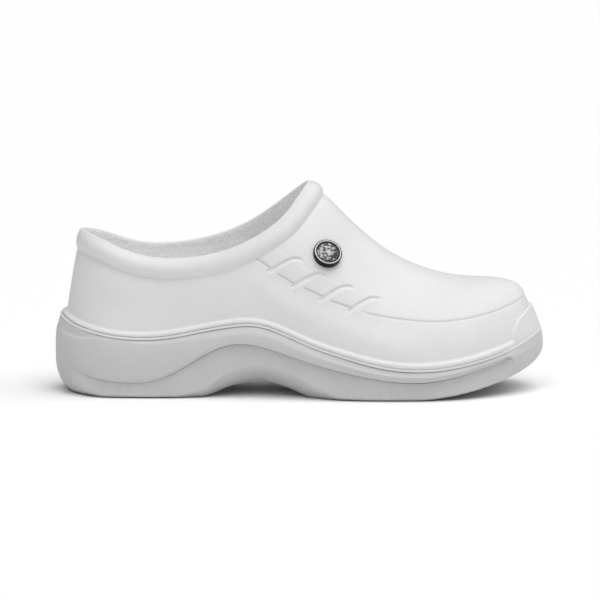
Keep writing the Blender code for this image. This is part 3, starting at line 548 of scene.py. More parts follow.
# ---------------------------------------------------------------- mesh helpers
def mesh_object(name, points, faces, marks=None, sharp=50.0, merge=True):
    """Makes an object from points in the tables' frame (mm). marks gives each face's material number."""
    mesh = bpy.data.meshes.new(name)
    places = (np.asarray(points, float).reshape(-1, 3) + SHIFT) * MM
    mesh.from_pydata([tuple(p) for p in places], [], [tuple(f) for f in faces])
    if marks is not None:
        mesh.polygons.foreach_set("material_index", np.asarray(marks, np.int32))
    build = bmesh.new()
    build.from_mesh(mesh)
    if merge:
        bmesh.ops.remove_doubles(build, verts=build.verts, dist=2e-7)
        bmesh.ops.dissolve_degenerate(build, edges=build.edges, dist=1e-8)
    bmesh.ops.recalc_face_normals(build, faces=build.faces)
    if build.calc_volume(signed=True) < 0:
        bmesh.ops.reverse_faces(build, faces=build.faces)
    build.to_mesh(mesh)
    build.free()
    mesh.shade_smooth()
    mesh.set_sharp_from_angle(angle=math.radians(sharp))
    piece = bpy.data.objects.new(name, mesh)
    bpy.context.scene.collection.objects.link(piece)
    return piece


def grid_faces(cols, rows, first=0, wrap_cols=False, wrap_rows=False, flip=False):
    c = np.arange(cols if wrap_cols else cols - 1)
    r = np.arange(rows if wrap_rows else rows - 1)
    c, r = np.meshgrid(c, r, indexing="ij")
    c1, r1 = (c + 1) % cols, (r + 1) % rows
    a, b, d, e = c * rows + r, c1 * rows + r, c1 * rows + r1, c * rows + r1
    quads = np.stack([a, b, d, e] if not flip else [e, d, b, a], -1).reshape(-1, 4) + first
    return quads


def two_sided(name, by_side, marks=None, sharp=50.0):
    """Joins the two sides' grids of points (columns, rows, 3) along the points that they share."""
    outer, inner = by_side[-1], by_side[1]
    cols, rows = outer.shape[:2]
    points = np.concatenate([outer.reshape(-1, 3), inner.reshape(-1, 3)])
    faces = np.concatenate([grid_faces(cols, rows), grid_faces(cols, rows, first=cols * rows, flip=True)])
    if marks is not None:
        row_marks = np.tile(np.asarray(marks), cols - 1)
        marks = np.concatenate([row_marks, row_marks])
    return mesh_object(name, points, faces, marks, sharp)


def distances(points, line):
    """Distance of every point to the nearest point of a dense line."""
    tree = KDTree(len(line))
    for i, p in enumerate(line):
        tree.insert(p, i)
    tree.balance()
    flat = points.reshape(-1, 3)
    return np.array([tree.find(p)[2] for p in flat]).reshape(points.shape[:-1])


# ---------------------------------------------------------------- upper
def dense_stations(n, weight):
    """n + 1 values of t whose spacing shrinks where weight(x) is large."""
    fine = np.linspace(0, 1, 3001)
    even = 0.5 * length_share(fine) + 0.5 * fine
    pace = np.gradient(even) * weight(outline(fine, -1)[0])
    run = np.concatenate([[0], np.cumsum((pace[1:] + pace[:-1]) / 2)])
    return np.interp(np.linspace(0, 1, n + 1), run / run[-1], fine)


def wall_y(x, z, side):
    """y of the outer form at a given x and height."""
    low = PARTING(x)
    share = np.clip((z - low) / (RIDGE(x) - low), 0, 1)
    return centre(x) + side * foot_half(x, side) * np.clip(1 - share ** FULLNESS(x), 0, 1) ** (drawn(x, share) / 2)


def net(t, side, samples=300):
    """Points, outward normals, directions and lengths of columns from the foot line to the collar edge."""
    s = np.linspace(0, 1, samples)[None, :]
    x_foot, y_foot = inset(t, side, FOOT(outline(t, side)[0]))
    y_foot = np.abs(y_foot - centre(x_foot))
    share = length_share(t)
    x_rim = np.where(side < 0, np.interp(SPREAD(share), RIM[-1][2], RIM[-1][0]), np.interp(SPREAD(share), RIM[1][2], RIM[1][0]))
    a_rim = rim_angle(x_rim, side)
    y_rim = foot_half(x_rim, side) * np.cos(a_rim)
    g = s**1.7
    xa = x_foot[:, None] + (x_rim - x_foot)[:, None] * g
    ya = y_foot[:, None] + (y_rim - y_foot)[:, None] * g
    wide = foot_half(xa, side[:, None])
    aa = np.arccos(np.clip(np.where(wide > 1e-6, ya / np.maximum(wide, 1e-6), 0), 0, 1))
    aa[:, 0] = np.where(share > 1 - 1e-9, math.pi / 2, 0)
    xb = x_foot[:, None] + (x_rim - x_foot)[:, None] * s
    ab = a_rim[:, None] * s
    w = ease(0.22, 0.5, share)[:, None]
    points = form(xb + (xa - xb) * w, ab + (aa - ab) * w, side[:, None] + 0 * s)
    along = np.gradient(points, axis=1)
    round_ = np.roll(points, -1, 0) - np.roll(points, 1, 0)
    normal = np.cross(round_, along)
    normal /= np.maximum(np.linalg.norm(normal, axis=-1, keepdims=True), 1e-12)
    third = samples // 3
    if np.sum(normal[:, third, 1] * points[:, third, 1]) < 0:
        normal = -normal
    along /= np.maximum(np.linalg.norm(along, axis=-1, keepdims=True), 1e-12)
    step = np.linalg.norm(np.diff(points, axis=1), axis=-1)
    run = np.concatenate([np.zeros((len(t), 1)), np.cumsum(step, axis=1)], 1)
    return points, normal, along, run


def throat_line(points):
    """Where the columns cross the throat line, in order round the toe."""
    line = []
    for column in points:
        m = column[:, 2] - THROAT(column[:, 0])
        cross = np.nonzero((m[:-1] < 0) & (m[1:] >= 0) & (column[:-1, 0] > 101.0))[0]
        if len(cross):
            i = cross[0]
            f = -m[i] / (m[i + 1] - m[i])
            line.append(column[i] + (column[i + 1] - column[i]) * f)
    line = np.array(line)
    s = np.concatenate([[0], np.cumsum(np.linalg.norm(np.diff(line, axis=0), axis=1))])
    fine = np.arange(0, s[-1], 0.2)
    return np.stack([np.interp(fine, s, line[:, a]) for a in range(3)], -1)


def through(points, n=40):
    """Smooth line through a few points of the side view."""
    p = np.array(points, float)
    s = np.concatenate([[0], np.cumsum(np.linalg.norm(np.diff(p, axis=0), axis=1))])
    fine = np.linspace(0, s[-1], n)
    return np.stack([fair(s, p[:, 0])(fine), fair(s, p[:, 1])(fine)], -1)


def beside(points, line, side):
    """Distance to a side-view line laid on the wall, its sign (positive above the line) and the run along it."""
    y = wall_y(line[:, 0], line[:, 1], side)
    solid = np.stack([line[:, 0], y, line[:, 1]], -1)
    best = np.full(len(points), 1e9)
    sign, run = np.zeros(len(points)), np.zeros(len(points))
    length = 0.0
    for a, b in zip(solid[:-1], solid[1:]):
        d = b - a
        size = np.linalg.norm(d)
        f = np.clip(((points - a) @ d) / size**2, 0, 1)
        gap = np.linalg.norm(points - (a + f[:, None] * d), axis=1)
        closer = gap < best
        best = np.where(closer, gap, best)
        turn = d[0] * (points[:, 2] - a[2]) - d[2] * (points[:, 0] - a[0])
        sign = np.where(closer, np.sign(turn), sign)
        run = np.where(closer, length + f * size, run)
        length += size
    return best, sign, run, length


def lacing(points, side):
    """Relief of the embossed lacing on one side of the shoe."""
    flat = points.reshape(-1, 3)
    x, z = flat[:, 0], flat[:, 2]
    out = np.zeros(len(flat))
    near = np.nonzero((x > 100) & (x < 190) & (z > 40) & (z < 90))[0]
    if not len(near):
        return out.reshape(points.shape[:-1])
    p, px, pz = flat[near], x[near], z[near]
    high = np.zeros(len(near))
    low = np.zeros(len(near))
    for step in LACE_STEPS:
        a, b, r = np.array(step["a"]), np.array(step["b"]), np.array(TAB_REACH)
        e = b - a
        det = e[0] * r[1] - e[1] * r[0]
        u = ((px - a[0]) * r[1] - (pz - a[1]) * r[0]) / det
        v = (e[0] * (pz - a[1]) - e[1] * (px - a[0])) / det
        window = ease(-0.04, 0.06, u) * (1 - ease(0.97, 1.06, u))
        tab = step["stand"] * np.clip(v / 0.95, 0, 1) ** 0.8 * window * (1 - ease(0.94, 1.16, v))
        high = np.maximum(high, tab)
        edge = np.stack([np.linspace(a[0], b[0], 6), np.linspace(a[1], b[1], 6)], -1)
        gap, sign, run, length = beside(p, edge, side)
        fade = ease(0.0, 0.6, run) * (1 - ease(length - 0.8, length, run))
        slope = -DIVE_SLOPE * np.exp(-gap / DIVE_REACH) - DIVE_DEPTH * np.exp(-((gap / DIVE_WIDTH) ** 2))
        step_up = -(DIVE_SLOPE + DIVE_DEPTH) * (1 - ease(0.0, 0.3, gap))
        low = np.minimum(low, np.where(sign > 0, slope, step_up) * fade)
        gap, sign, run, length = beside(p, through(step["curl"]), side)
        taper = ease(0.0, 0.8, run) * (1 - 0.9 * ease(length - 3.0, length, run))
        bank = -CREASE_DEPTH + (CREASE_DEPTH + STRAND_STAND) * np.sin(np.pi / 2 * np.clip(gap / CREASE_BANK, 0, 1)) ** 2
        bank = np.where(gap < CREASE_BANK, bank, STRAND_STAND * (1 - ease(CREASE_BANK, STRAND_WIDTH, gap)))
        strand = np.where(sign > 0, -CREASE_DEPTH * np.exp(-((gap / CREASE_WIDTH) ** 2)), bank) * taper
        high, low = np.maximum(high, strand), np.minimum(low, strand)
    out[near] = np.maximum(high + low, -1.1)
    return out.reshape(points.shape[:-1])


def fine_relief(points, height, side, rim, throat):
    """How far the moulded features stand off the outer form."""
    x, z = points[..., 0], points[..., 2]
    toe, past = ease(232, 250, x), x - FINE_GUARD(z)
    rear = 1 - ease(8, 38, x)
    squeeze = 1.45 - 0.2 * ease(60, 210, x)
    bead = BEAD_STAND * FINE_BEAD(1.35 + (height - 1.35) * squeeze) * (1 - 0.35 * toe) * (1 + 0.35 * rear)
    guard = GUARD_STAND * ease(-0.2, 0.5, past) + (0.2 + 0.2 * (1 - ease(34, 41, z))) * np.exp(-(((past - 0.8) / 0.55) ** 2))
    guard = guard * (1 - 0.4 * (1 - ease(1.5, 2.8, height)))
    notch = (0.36 - 0.24 * ease(85, 140, x) - 0.08 * toe) * np.exp(-(((height - 1.35) / 0.18) ** 2))
    mix = ease(1.1, 1.6, height)
    stand = (FOOT(x) - LIP(x) - 0.1) * (1 - mix) + np.maximum(bead, guard) * mix - notch
    stand = stand + FINE_ROLL(rim) * (0.55 + 0.45 * ease(13, 22, x) + 0.35 * ease(15, 27, x) * (1 - ease(42, 84, x)))
    taper = ease(*MOC_FADE, x)
    plug = PLUG_STAND * (1 - np.exp(-((throat / 0.6) ** 2))) * (1 - ease(5.0, 24.0, throat))
    stand = stand + (np.where(z > THROAT(x), plug, 0) - MOC_DEPTH * np.exp(-((throat / MOC_WIDTH) ** 2))) * taper
    hollow = np.exp(-(((x - HOLLOW_X) / HOLLOW_LONG) ** 2) - ((z - HOLLOW_Z) / HOLLOW_HIGH) ** 2)
    over, (r0, r1, r2, r3) = z - THROAT(x), FOLD_ROWS
    fold = ease(r0, r1, over) - 2 * ease(r1, r2, over) + ease(r2, r3, over)
    stand = stand - HOLLOW_DEPTH * hollow + FOLD_STAND * fold * ease(100, 120, x) * (1 - ease(175, 205, x))
    outer = side < 0
    stand[outer] += lacing(points[outer], -1)
    stand[~outer] += lacing(points[~outer], 1)
    return stand


def make_upper():
    motif = lambda x: 1 + 1.7 * ease(96, 106, x) * (1 - ease(182, 196, x)) + 2.6 * ease(240, 246, x) * (1 - ease(262, 265, x))
    t_out = dense_stations(OUTER_COLUMNS, motif)
    t_in = dense_stations(INNER_COLUMNS, motif)
    t = np.concatenate([t_out, t_in[-2:0:-1]])
    side = np.concatenate([-np.ones(len(t_out)), np.ones(len(t_in) - 2)])
    points, normal, along, run = net(t, side)
    line = throat_line(points)
    rim_places = np.concatenate([RIM[-1][1], RIM[1][1]])
    gap = distances(points, line)
    band = np.array([(112.0, 77.0), (140.0, 64.5), (176.0, 51.0)])
    middle = through(band, 60)
    lace = np.ones(points.shape[:2]) * 99.0
    for sgn in (-1, 1):
        pick = side == sgn
        solid = np.stack([middle[:, 0], wall_y(middle[:, 0], middle[:, 1], sgn), middle[:, 1]], -1)
        lace[pick] = distances(points[pick], solid)
    weight = 1 + 2.0 * np.exp(-((gap / 1.3) ** 2)) + 4.0 * (1 - ease(6.0, 12.0, lace))
    weight = weight + 6.0 * np.exp(-(((points[..., 0] - FINE_GUARD(points[..., 2]) - 0.3) / 1.2) ** 2))
    foot_rows = np.array((0.0, 0.3, 0.6, 0.85, 1.0, 1.12, 1.24, 1.36, 1.5, 1.64, 1.78, 1.95, 2.2, 2.6, 3.0, 3.4, 3.8, 4.3, 4.8, 5.4, 6.1, 6.9, 7.8))
    rim_rows = np.array((12.6, 11.9, 11.3, 10.8, 10.4, 10.0, 9.5, 8.8, 8.0, 7.0, 6.0, 5.0, 4.0, 3.1, 2.3, 1.6, 1.0, 0.5, 0.0))
    inner_share = np.linspace(0, 1, LINING_ROWS) ** 1.15
    turn = np.linspace(0, math.pi, 11)[1:-1]
    cols, normals, heights = [], [], []
    for k in range(len(t)):
        total = run[k, -1]
        a, b = foot_rows[-1], total - rim_rows[0]
        here = (run[k] >= a) & (run[k] <= b)
        h = np.concatenate([[a], run[k][here], [b]])
        w = np.interp(h, run[k], weight[k])
        c = np.concatenate([[0], np.cumsum((w[1:] + w[:-1]) / 2 * np.diff(h))])
        mid = np.interp(np.linspace(0, 1, MID_ROWS + 2)[1:-1], c / c[-1], h)
        heights.append(np.concatenate([foot_rows, mid, total - rim_rows]))
    heights = np.array(heights)

    def read(field, where):
        return np.stack([[np.interp(where[k], run[k], field[k, :, i]) for k in range(len(t))] for i in range(3)], -1)

    base, out = read(points, heights), read(normal, heights)
    out /= np.linalg.norm(out, axis=-1, keepdims=True)
    side_rows = np.repeat(side[:, None], heights.shape[1], 1)
    stand = fine_relief(base, heights, side_rows, distances(base, rim_places), distances(base, line))
    shell = base + out * stand[..., None]
    total = run[:, -1]
    inner_h = total[:, None] - (total[:, None] - 9.0) * inner_share[None, :]
    lining = read(points, inner_h) - read(normal, inner_h) * WALL
    top_out, top_in = shell[:, -1], lining[:, 0]
    middle_top, reach = (top_out + top_in) / 2, (top_out - top_in) / 2
    up = along[:, -1]
    crest = middle_top[:, None] + reach[:, None] * np.cos(turn)[None, :, None] + up[:, None] * (CREST * np.sin(turn))[None, :, None]
    x0 = outline(t, side)[0]
    x1, y1 = inset(t, side, LIP(x0) + 0.1)
    x2, y2 = inset(t, side, LIP(x0) + RIM_SHELF - 0.2)
    z0 = PARTING(x1) + GAP / 2
    lip = np.stack([x1, y1, z0], -1)[:, None]
    heel = np.stack([x2, y2, z0], -1)[:, None]
    rows = np.concatenate([lip, shell, crest, lining, heel], 1)
    n_cols, n_rows = rows.shape[:2]
    faces = grid_faces(n_cols, n_rows, wrap_cols=True, wrap_rows=True)
    row_of = np.tile(np.arange(n_rows), n_cols)
    first_lining = 1 + shell.shape[1] + crest.shape[1]
    marks = ((row_of >= first_lining - 1) & (row_of < n_rows - 1)).astype(np.int32)
    return mesh_object("upper_foam", rows, faces, marks, sharp=60.0, merge=False)


# ---------------------------------------------------------------- midsole
def under(x, depth):
    """Height of the tread's underside at a set-back from the outline."""
    slope = np.clip(1 - (depth - BAND_INSET) / BEVEL(x), 0, 1)
    return KEEL(x) + (EDGE(x) - KEEL(x)) * slope


def band_depth(x):
    """Set-back of the ribbed band: hardly any at the heel end, where it runs smoothly into the midsole."""
    return 1.2 + ease(12.0, 26.0, x) - 1.5 * ease(TRAY_TO - 4.5, TRAY_TO, x) + undercut(x) + 0.9 * fuller(x)


def fuller(x):
    """1 where the midsole's lip rolls under in a wide round, from the arch to near the toe."""
    return ease(55.0, 90.0, x) * (1 - ease(TRAY_TO - 24.0, TRAY_TO - 4.0, x))


def undercut(x):
    """How much further the band stands back under the midsole's lip, most of all towards the toe."""
    return (0.45 * ease(50.0, 90.0, x) + 0.5 * ease(170.0, 215.0, x)) * (1 - ease(TRAY_TO - 4.5, TRAY_TO, x))


def lip_round(x):
    return 0.05 + (LIP_ROUND - 0.05) * ease(12.0, 26.0, x) * (1 - 0.85 * ease(TRAY_TO - 4.5, TRAY_TO, x)) + 1.1 * fuller(x)


def lip_line(x):
    """Height of the midsole's lower lip along the band; it turns down at the toe end."""
    return WAVE(x) - CORNER_DROP * np.clip((x - TRAY_TO + CORNER_RUN) / CORNER_RUN, 0, 1) ** 2.5


def smooth_end(x):
    """1 at the tray's ends, where the tread takes on the round of the midsole's ends."""
    return np.maximum(1 - ease(TRAY_FROM, 26.0, x), ease(TRAY_TO - 24.0, TRAY_TO, x))


def round_under(x, depth, size, rise):
    """Height of the underside where the midsole itself rounds to the ground."""
    return KEEL(x) + rise * (1 - np.sqrt(np.clip(1 - np.clip(1 - depth / size, 0, 1) ** 2, 0, 1)))


def place(t, side, depth, z):
    x, y = inset(t, side, depth)
    return np.stack([x, y, z + 0 * x], -1)


def middle_of(t, depth):
    xo, yo = inset(t, -1, depth)
    xi, yi = inset(t, 1, depth)
    return (xo + xi) / 2, (yo + yi) / 2


def inward(t, side, depth, share, height):
    """Points between a set-back on one side and the middle, at height(x, set-back)."""
    x, y = inset(t, side, depth)
    mx, my = middle_of(t, depth)
    span = np.hypot(x - mx, y - my)
    px, py = x + (mx - x) * share, y + (my - y) * share
    return np.stack([px, py, height(px, depth + span * share)], -1)


WALL_STEPS = np.concatenate([np.linspace(0, 0.9, 16), (0.94, 0.97, 1.0)])


def midsole_side(t, side, tray, fade):
    """Rows of points from the middle of the footbed over the ledge and down the side to the middle of the underside."""
    x0 = outline(t, side)[0]
    lip, size, high = LIP(x0), END_ROUND(x0), END_RISE(x0)
    bed_depth = lip + RIM_SHELF + BED_WALL
    rows = [inward(t, side, bed_depth, share, lambda x, d: BED(x)) for share in (1.0, 0.6, 0.25, 0.06, 0.0)]
    part = PARTING(inset(t, side, lip)[0]) - GAP / 2
    kick = part - KICK_DROP(x0)
    bend = lip_round(x0)
    wave = WAVE(x0) + (lip_line(x0) - WAVE(x0)) * (1 - fade)
    foot = wave + bend * (math.sin(LIP_TO) - math.sin(LIP_FROM)) * (1 - fade)
    rise = np.maximum(0.0, 1 - (wave - KEEL(x0)) / high)
    tuck = band_depth(x0) - undercut(x0) - LIP_OVER * bend / LIP_ROUND - bend * (math.cos(LIP_FROM) - math.cos(LIP_TO))
    tuck = tuck + (size * (1 - np.sqrt(1 - rise**2)) - tuck) * fade
    low_depth = BAND_INSET + BAND_WALL + GAP
    back = OVERHANG * (1 - 0.7 * ease(235.0, 258.0, x0))
    rows.append(place(t, side, lip + RIM_SHELF, part))
    rows.append(place(t, side, lip + 0.1 + back + 0.35, part))
    rows.append(place(t, side, lip + 0.1 + back + 0.07, part - 0.1))
    rows.append(place(t, side, lip + 0.1 + back, part - 0.35))
    top_depth, kick_depth = lip + 0.1 + back, KICK(x0)
    even = np.maximum(ease(*LEDGE_REACH, x0), 0.85 * (1 - ease(*LEDGE_REAR, x0)))
    for drop, way in LEDGE_ROWS:
        share = way + (drop - way) * even
        rows.append(place(t, side, top_depth + (kick_depth - top_depth) * share, part - 0.35 + (kick - part + 0.35) * drop))
    for v in WALL_STEPS:
        depth = kick_depth * max(0.0, 1 - v / 0.48) ** 1.8 + tuck * max(0.0, (v - 0.48) / 0.52) ** 2.2
        rows.append(place(t, side, depth, kick + (foot - kick) * v))
    if tray:
        for angle in np.linspace(LIP_FROM, LIP_TO, 6)[1:]:
            rows.append(place(t, side, tuck + bend * (math.cos(LIP_FROM) - math.cos(angle)), foot - bend * (math.sin(angle) - math.sin(LIP_FROM))))
        rows.append(place(t, side, low_depth + 0 * x0, wave))
        ceiling = lambda x, d: under(x, d) + TRAY_FLOOR + TRAY_GAP
        rows += [inward(t, side, low_depth + 0 * x0, share, ceiling) for share in (0.0, 0.28, 0.6, 1.0)]
    else:
        start, stop = np.arccos(1 - tuck / size), math.radians(86.0)
        for share in (0.02, 0.15, 0.3, 0.46, 0.62, 0.78, 0.9):
            depth = size * (1 - np.cos(start + (stop - start) * share))
            x, y = inset(t, side, depth)
            rows.append(np.stack([x, y, round_under(x, depth, size, high)], -1))
        ground = lambda x, d: round_under(x, d, size, high)
        rows += [inward(t, side, size * (1 - math.cos(stop)), share, ground) for share in (0.0, 0.5, 1.0)]
    return np.stack(rows, 1)


def make_midsole():
    x_heel, x_toe = TRAY_FROM, TRAY_TO
    t_heel, t_toe = (math.acos(1 - 2 * x / LENGTH) / math.pi for x in (x_heel, x_toe))
    close = np.arccos(1 - 2 * np.arange(x_toe - 7.0, x_toe + 2.0, 0.3) / LENGTH) / math.pi
    t = np.sort(np.concatenate([stations(SOLE_STEPS), close]))
    heel = np.concatenate([t[t < t_heel - 1e-4], [t_heel]])
    mid = np.concatenate([[t_heel], t[(t > t_heel + 1e-4) & (t < t_toe - 1e-4)], [t_toe]])
    toe = np.concatenate([[t_toe], t[t > t_toe + 1e-4]])
    by_side = {}
    for side in (-1, 1):
        blocks = []
        for ts, tray in ((heel, False), (mid, True), (toe, False)):
            x = outline(ts, -1)[0]
            away = np.maximum(np.maximum(x_heel - x, x - x_toe), 0)
            fade = np.zeros(len(ts)) if tray else ease(0.0, END_FADE, away)
            blocks.append(midsole_side(ts, side, tray, fade))
        by_side[side] = np.concatenate(blocks)
    return two_sided("midsole_foam", by_side, sharp=55.0)


# ---------------------------------------------------------------- outsole
def lug_raise(x, depth, start):
    """Height of the grooves between the main lugs."""
    out = 0 * x
    for first, last in LUG_RUNS:
        count = int(round((last - first) / LUG_PITCH))
        for xc in np.linspace(first, last, count + 1):
            out = np.maximum(out, LUG_DEPTH * (1 - ease(LUG_GROOVE / 2 - 0.25, LUG_GROOVE / 2 + 0.15, abs(x - xc))))
    return out * ease(start + 3.8, start + 4.5, depth)


def outsole_side(t, side, rib):
    x0 = outline(t, side)[0]
    band, round_end, size, high = band_depth(x0), smooth_end(x0), END_ROUND(x0), END_RISE(x0)
    start = (band + BEVEL(x0)) * (1 - round_end) + 0.93 * size * round_end
    deep = BAND_INSET + BAND_WALL
    edge, top = EDGE(x0), lip_line(x0) - BAND_TOP_GAP - 0.45 * undercut(x0)

    def belly(depth):
        """Underside between the flat tread and the foot of the band."""
        x = inset(t, side, depth)[0]
        bevel = KEEL(x) + (edge - KEEL(x)) * np.clip((start - depth) / (start - band), 0, 1)
        return bevel * (1 - round_end) + round_under(x, depth, size, high) * round_end

    tread = lambda x, d: KEEL(x) + lug_raise(x, d, start)
    rows = [inward(t, side, start + 8.0, share, tread) for share in (1.0, 0.66, 0.33, 0.0)]
    for extra in (6.0, 4.7, 4.3, 4.0, 3.7, 2.4, 1.0):
        x, y = inset(t, side, start + extra)
        rows.append(np.stack([x, y, tread(x, start + extra)], -1))
    for share in (0.0, 0.2, 0.4, 0.58, 0.73, 0.84, 0.91, 0.96):
        depth = start + (band + 0.3 - start) * share
        rows.append(place(t, side, depth, belly(depth)))
    rib_on = rib * ease(*RIB_FROM, x0) * (1 - ease(*RIB_TO, x0))
    foot = belly(band)
    rows.append(place(t, side, band + 0.3, belly(band + 0.3)))
    rows.append(place(t, side, band + 0.1 - 0.4 * rib_on, foot + 0.1))
    rows.append(place(t, side, band - 0.85 * rib_on, foot + 0.32))
    bottom = foot + 0.6
    for share in (0.0, 0.12, 0.32, 0.52, 0.72, 0.9, 1.0):
        rows.append(place(t, side, band - rib_on, bottom + (top - bottom) * share))
    rows.append(place(t, side, band + 0.35, top))
    rows.append(place(t, side, deep + 0 * x0, top))
    floor = lambda x, d: under(x, d) + TRAY_FLOOR
    rows += [inward(t, side, deep + 0 * x0, share, floor) for share in (0.0, 0.28, 0.6, 1.0)]
    return np.stack(rows, 1)


def make_outsole():
    a, b = (math.acos(1 - 2 * x / LENGTH) / math.pi for x in (TRAY_FROM + 0.03, TRAY_TO - 0.05))
    fine = np.linspace(a, b, 4001)
    x, y = outline(fine, -1)
    s = np.concatenate([[0], np.cumsum(np.hypot(np.diff(x), np.diff(y)))])
    count = int(s[-1] / (RIB_PITCH / 4))
    t = np.interp(np.arange(count + 1) * s[-1] / count, s, fine)
    rib = np.where(np.isin(np.arange(count + 1) % 4, (1, 2)), RIB_STAND, 0.0)
    by_side = {side: outsole_side(t, side, rib) for side in (-1, 1)}
    rows = by_side[-1].shape[1]
    points = np.concatenate([by_side[-1].reshape(-1, 3), by_side[1].reshape(-1, 3)])
    cols = len(t)
    faces = [tuple(f) for f in grid_faces(cols, rows)] + [tuple(f) for f in grid_faces(cols, rows, first=cols * rows, flip=True)]
    for c in (0, cols - 1):
        loop = [c * rows + r for r in range(rows)] + [cols * rows + c * rows + r for r in range(rows - 2, 0, -1)]
        faces.append(tuple(loop))
    return mesh_object("outsole_tread", points, faces, sharp=40.0)


# ---------------------------------------------------------------- insole
def make_insole():
    t = stations(150)
    by_side = {}
    for side in (-1, 1):
        x0 = outline(t, side)[0]
        depth = LIP(x0) + RIM_SHELF + BED_WALL + INSOLE_PLAY
        low = lambda x, d: BED(x) + INSOLE_PLAY
        cup = lambda share: 1.1 * (1 - share) ** 6
        rows = []
        for share in (1.0, 0.8, 0.6, 0.42, 0.28, 0.17, 0.09, 0.04):
            rows.append(inward(t, side, depth + 0.3, share, lambda x, d, q=share: BED(x) + INSOLE_PLAY + INSOLE_THICK + cup(q)))
        for extra, drop in ((0.85, 0.05), (0.55, 0.2), (0.36, 0.5), (0.3, 0.9), (0.15, 2.4)):
            x, y = inset(t, side, depth + extra)
            rows.append(np.stack([x, y, BED(x) + INSOLE_PLAY + INSOLE_THICK + 1.0 - drop], -1))
        rows += [inward(t, side, depth, share, low) for share in (0.0, 0.5, 1.0)]
        by_side[side] = np.stack(rows, 1)
    return two_sided("insole_pad", by_side, sharp=70.0)


# ---------------------------------------------------------------- rivet
def badge_frame():
    def wall(x, z):
        return float(wall_y(x, z, -1))

    p = Vector((BADGE_X, wall(BADGE_X, BADGE_Z), BADGE_Z))
    d = 3.0
    ux = Vector((2 * d, wall(BADGE_X + d, BADGE_Z) - wall(BADGE_X - d, BADGE_Z), 0))
    uz = Vector((0, wall(BADGE_X, BADGE_Z + d) - wall(BADGE_X, BADGE_Z - d), 2 * d))
    n = ux.cross(uz).normalized()
    if n.y > 0:
        n = -n
    e1 = ux.normalized()
    n = (n + e1 * BADGE_TILT[0] + n.cross(e1) * BADGE_TILT[1]).normalized()
    e1 = (e1 - n * e1.dot(n)).normalized()
    return p, e1, n.cross(e1).normalized(), n


def seat(p, e1, e2, n, radius, angle):
    """Height of the wall under a point of the rivet's back, measured along the rivet's axis."""
    q = p + (e1 * math.cos(angle) + e2 * math.sin(angle)) * radius
    a, b = -6.0, 6.0
    for _ in range(30):
        m = (a + b) / 2
        r = q + n * m
        if r.y < float(wall_y(r.x, r.z, -1)):
            b = m
        else:
            a = m
    return (a + b) / 2


RIVET_SIDES = 96
RING_COLUMNS = ("radius", "height")
RING_ROWS = ((7.7, 1.2), (7.7, 1.55), (7.69, 1.85), (7.64, 2.06), (7.56, 2.18), (7.47, 2.22), (7.4, 2.18), (7.36, 2.06), (7.34, 1.8), (7.34, 1.3), (3.0, 1.3), (0.0, 1.3))
DISC_COLUMNS = ("radius", "height", "metal")
DISC_ROWS = (
    (0.0, 1.4, 0), (7.26, 1.4, 0), (7.28, 1.95, 1), (7.22, 2.2, 1), (7.05, 2.33, 1), (6.8, 2.37, 1), (6.58, 2.31, 1), (6.48, 2.16, 0), (6.42, 1.9, 0),
    (6.3, 1.88, 0), (5.6, 1.95, 2), (4.6, 2.1, 2), (3.6, 2.22, 2), (2.6, 2.31, 2), (1.6, 2.37, 2), (0.0, 2.4, 2),
)


def make_rivet():
    p, e1, e2, n = badge_frame()
    angles = np.linspace(0, 2 * math.pi, RIVET_SIDES, endpoint=False)
    origin, ax, ay, an = (np.array(v) for v in (p, e1, e2, n))

    def turned(radius, height):
        return origin + (np.cos(angles)[:, None] * ax + np.sin(angles)[:, None] * ay) * radius + np.asarray(height).reshape(-1, 1) * an

    seats = {r: np.array([seat(p, e1, e2, n, r, a) for a in angles]) for r in (4.0, 7.2, 7.7)}
    rows = [turned(0.0, seats[4.0].mean() - 0.1), turned(4.0, seats[4.0] - 0.1), turned(7.2, seats[7.2] - 0.1), turned(7.7, seats[7.7] + 0.1)]
    rows += [turned(r, h) for r, h in RING_ROWS]
    rows = np.stack(rows, 1)
    faces = grid_faces(RIVET_SIDES, rows.shape[1], wrap_cols=True)
    ring_piece = mesh_object("badge_ring_head", rows, faces, sharp=50.0)
    rows = np.stack([turned(r, h) for r, h, _ in DISC_ROWS], 1)
    faces = grid_faces(RIVET_SIDES, rows.shape[1], wrap_cols=True)
    metal = [min(DISC_ROWS[i][2], DISC_ROWS[i + 1][2]) for i in range(len(DISC_ROWS) - 1)]
    disc_piece = mesh_object("badge_disc_face", rows, faces, np.tile(np.array(metal, np.int32), RIVET_SIDES), sharp=50.0)
    return ring_piece, disc_piece


# ---------------------------------------------------------------- materials
def material(name, colour, rough, metal=0.0):
    mat = bpy.data.materials.new(name)
    mat.use_nodes = True
    shader = mat.node_tree.nodes["Principled BSDF"]
    shader.inputs["Base Color"].default_value = (*colour, 1.0)
    shader.inputs["Roughness"].default_value = rough
    shader.inputs["Metallic"].default_value = metal
    return mat, mat.node_tree, shader


def node(tree, kind, **inputs):
    made = tree.nodes.new(kind)
    for key, value in inputs.items():
        made.inputs[key.replace("_", " ")].default_value = value
    return made


def coordinates(tree):
    return tree.nodes.new("ShaderNodeTexCoord").outputs["Object"]


def noise(tree, where, scale, detail=3.0, rough=0.5):
    made = node(tree, "ShaderNodeTexNoise", Scale=scale, Detail=detail, Roughness=rough)
    tree.links.new(where, made.inputs["Vector"])
    return made.outputs["Fac"]


def cells(tree, where, scale, feature="F1", smooth=None):
    made = tree.nodes.new("ShaderNodeTexVoronoi")
    made.feature = feature
    made.inputs["Scale"].default_value = scale
    if smooth is not None:
        made.inputs["Smoothness"].default_value = smooth
    tree.links.new(where, made.inputs["Vector"])
    return made.outputs["Distance"]


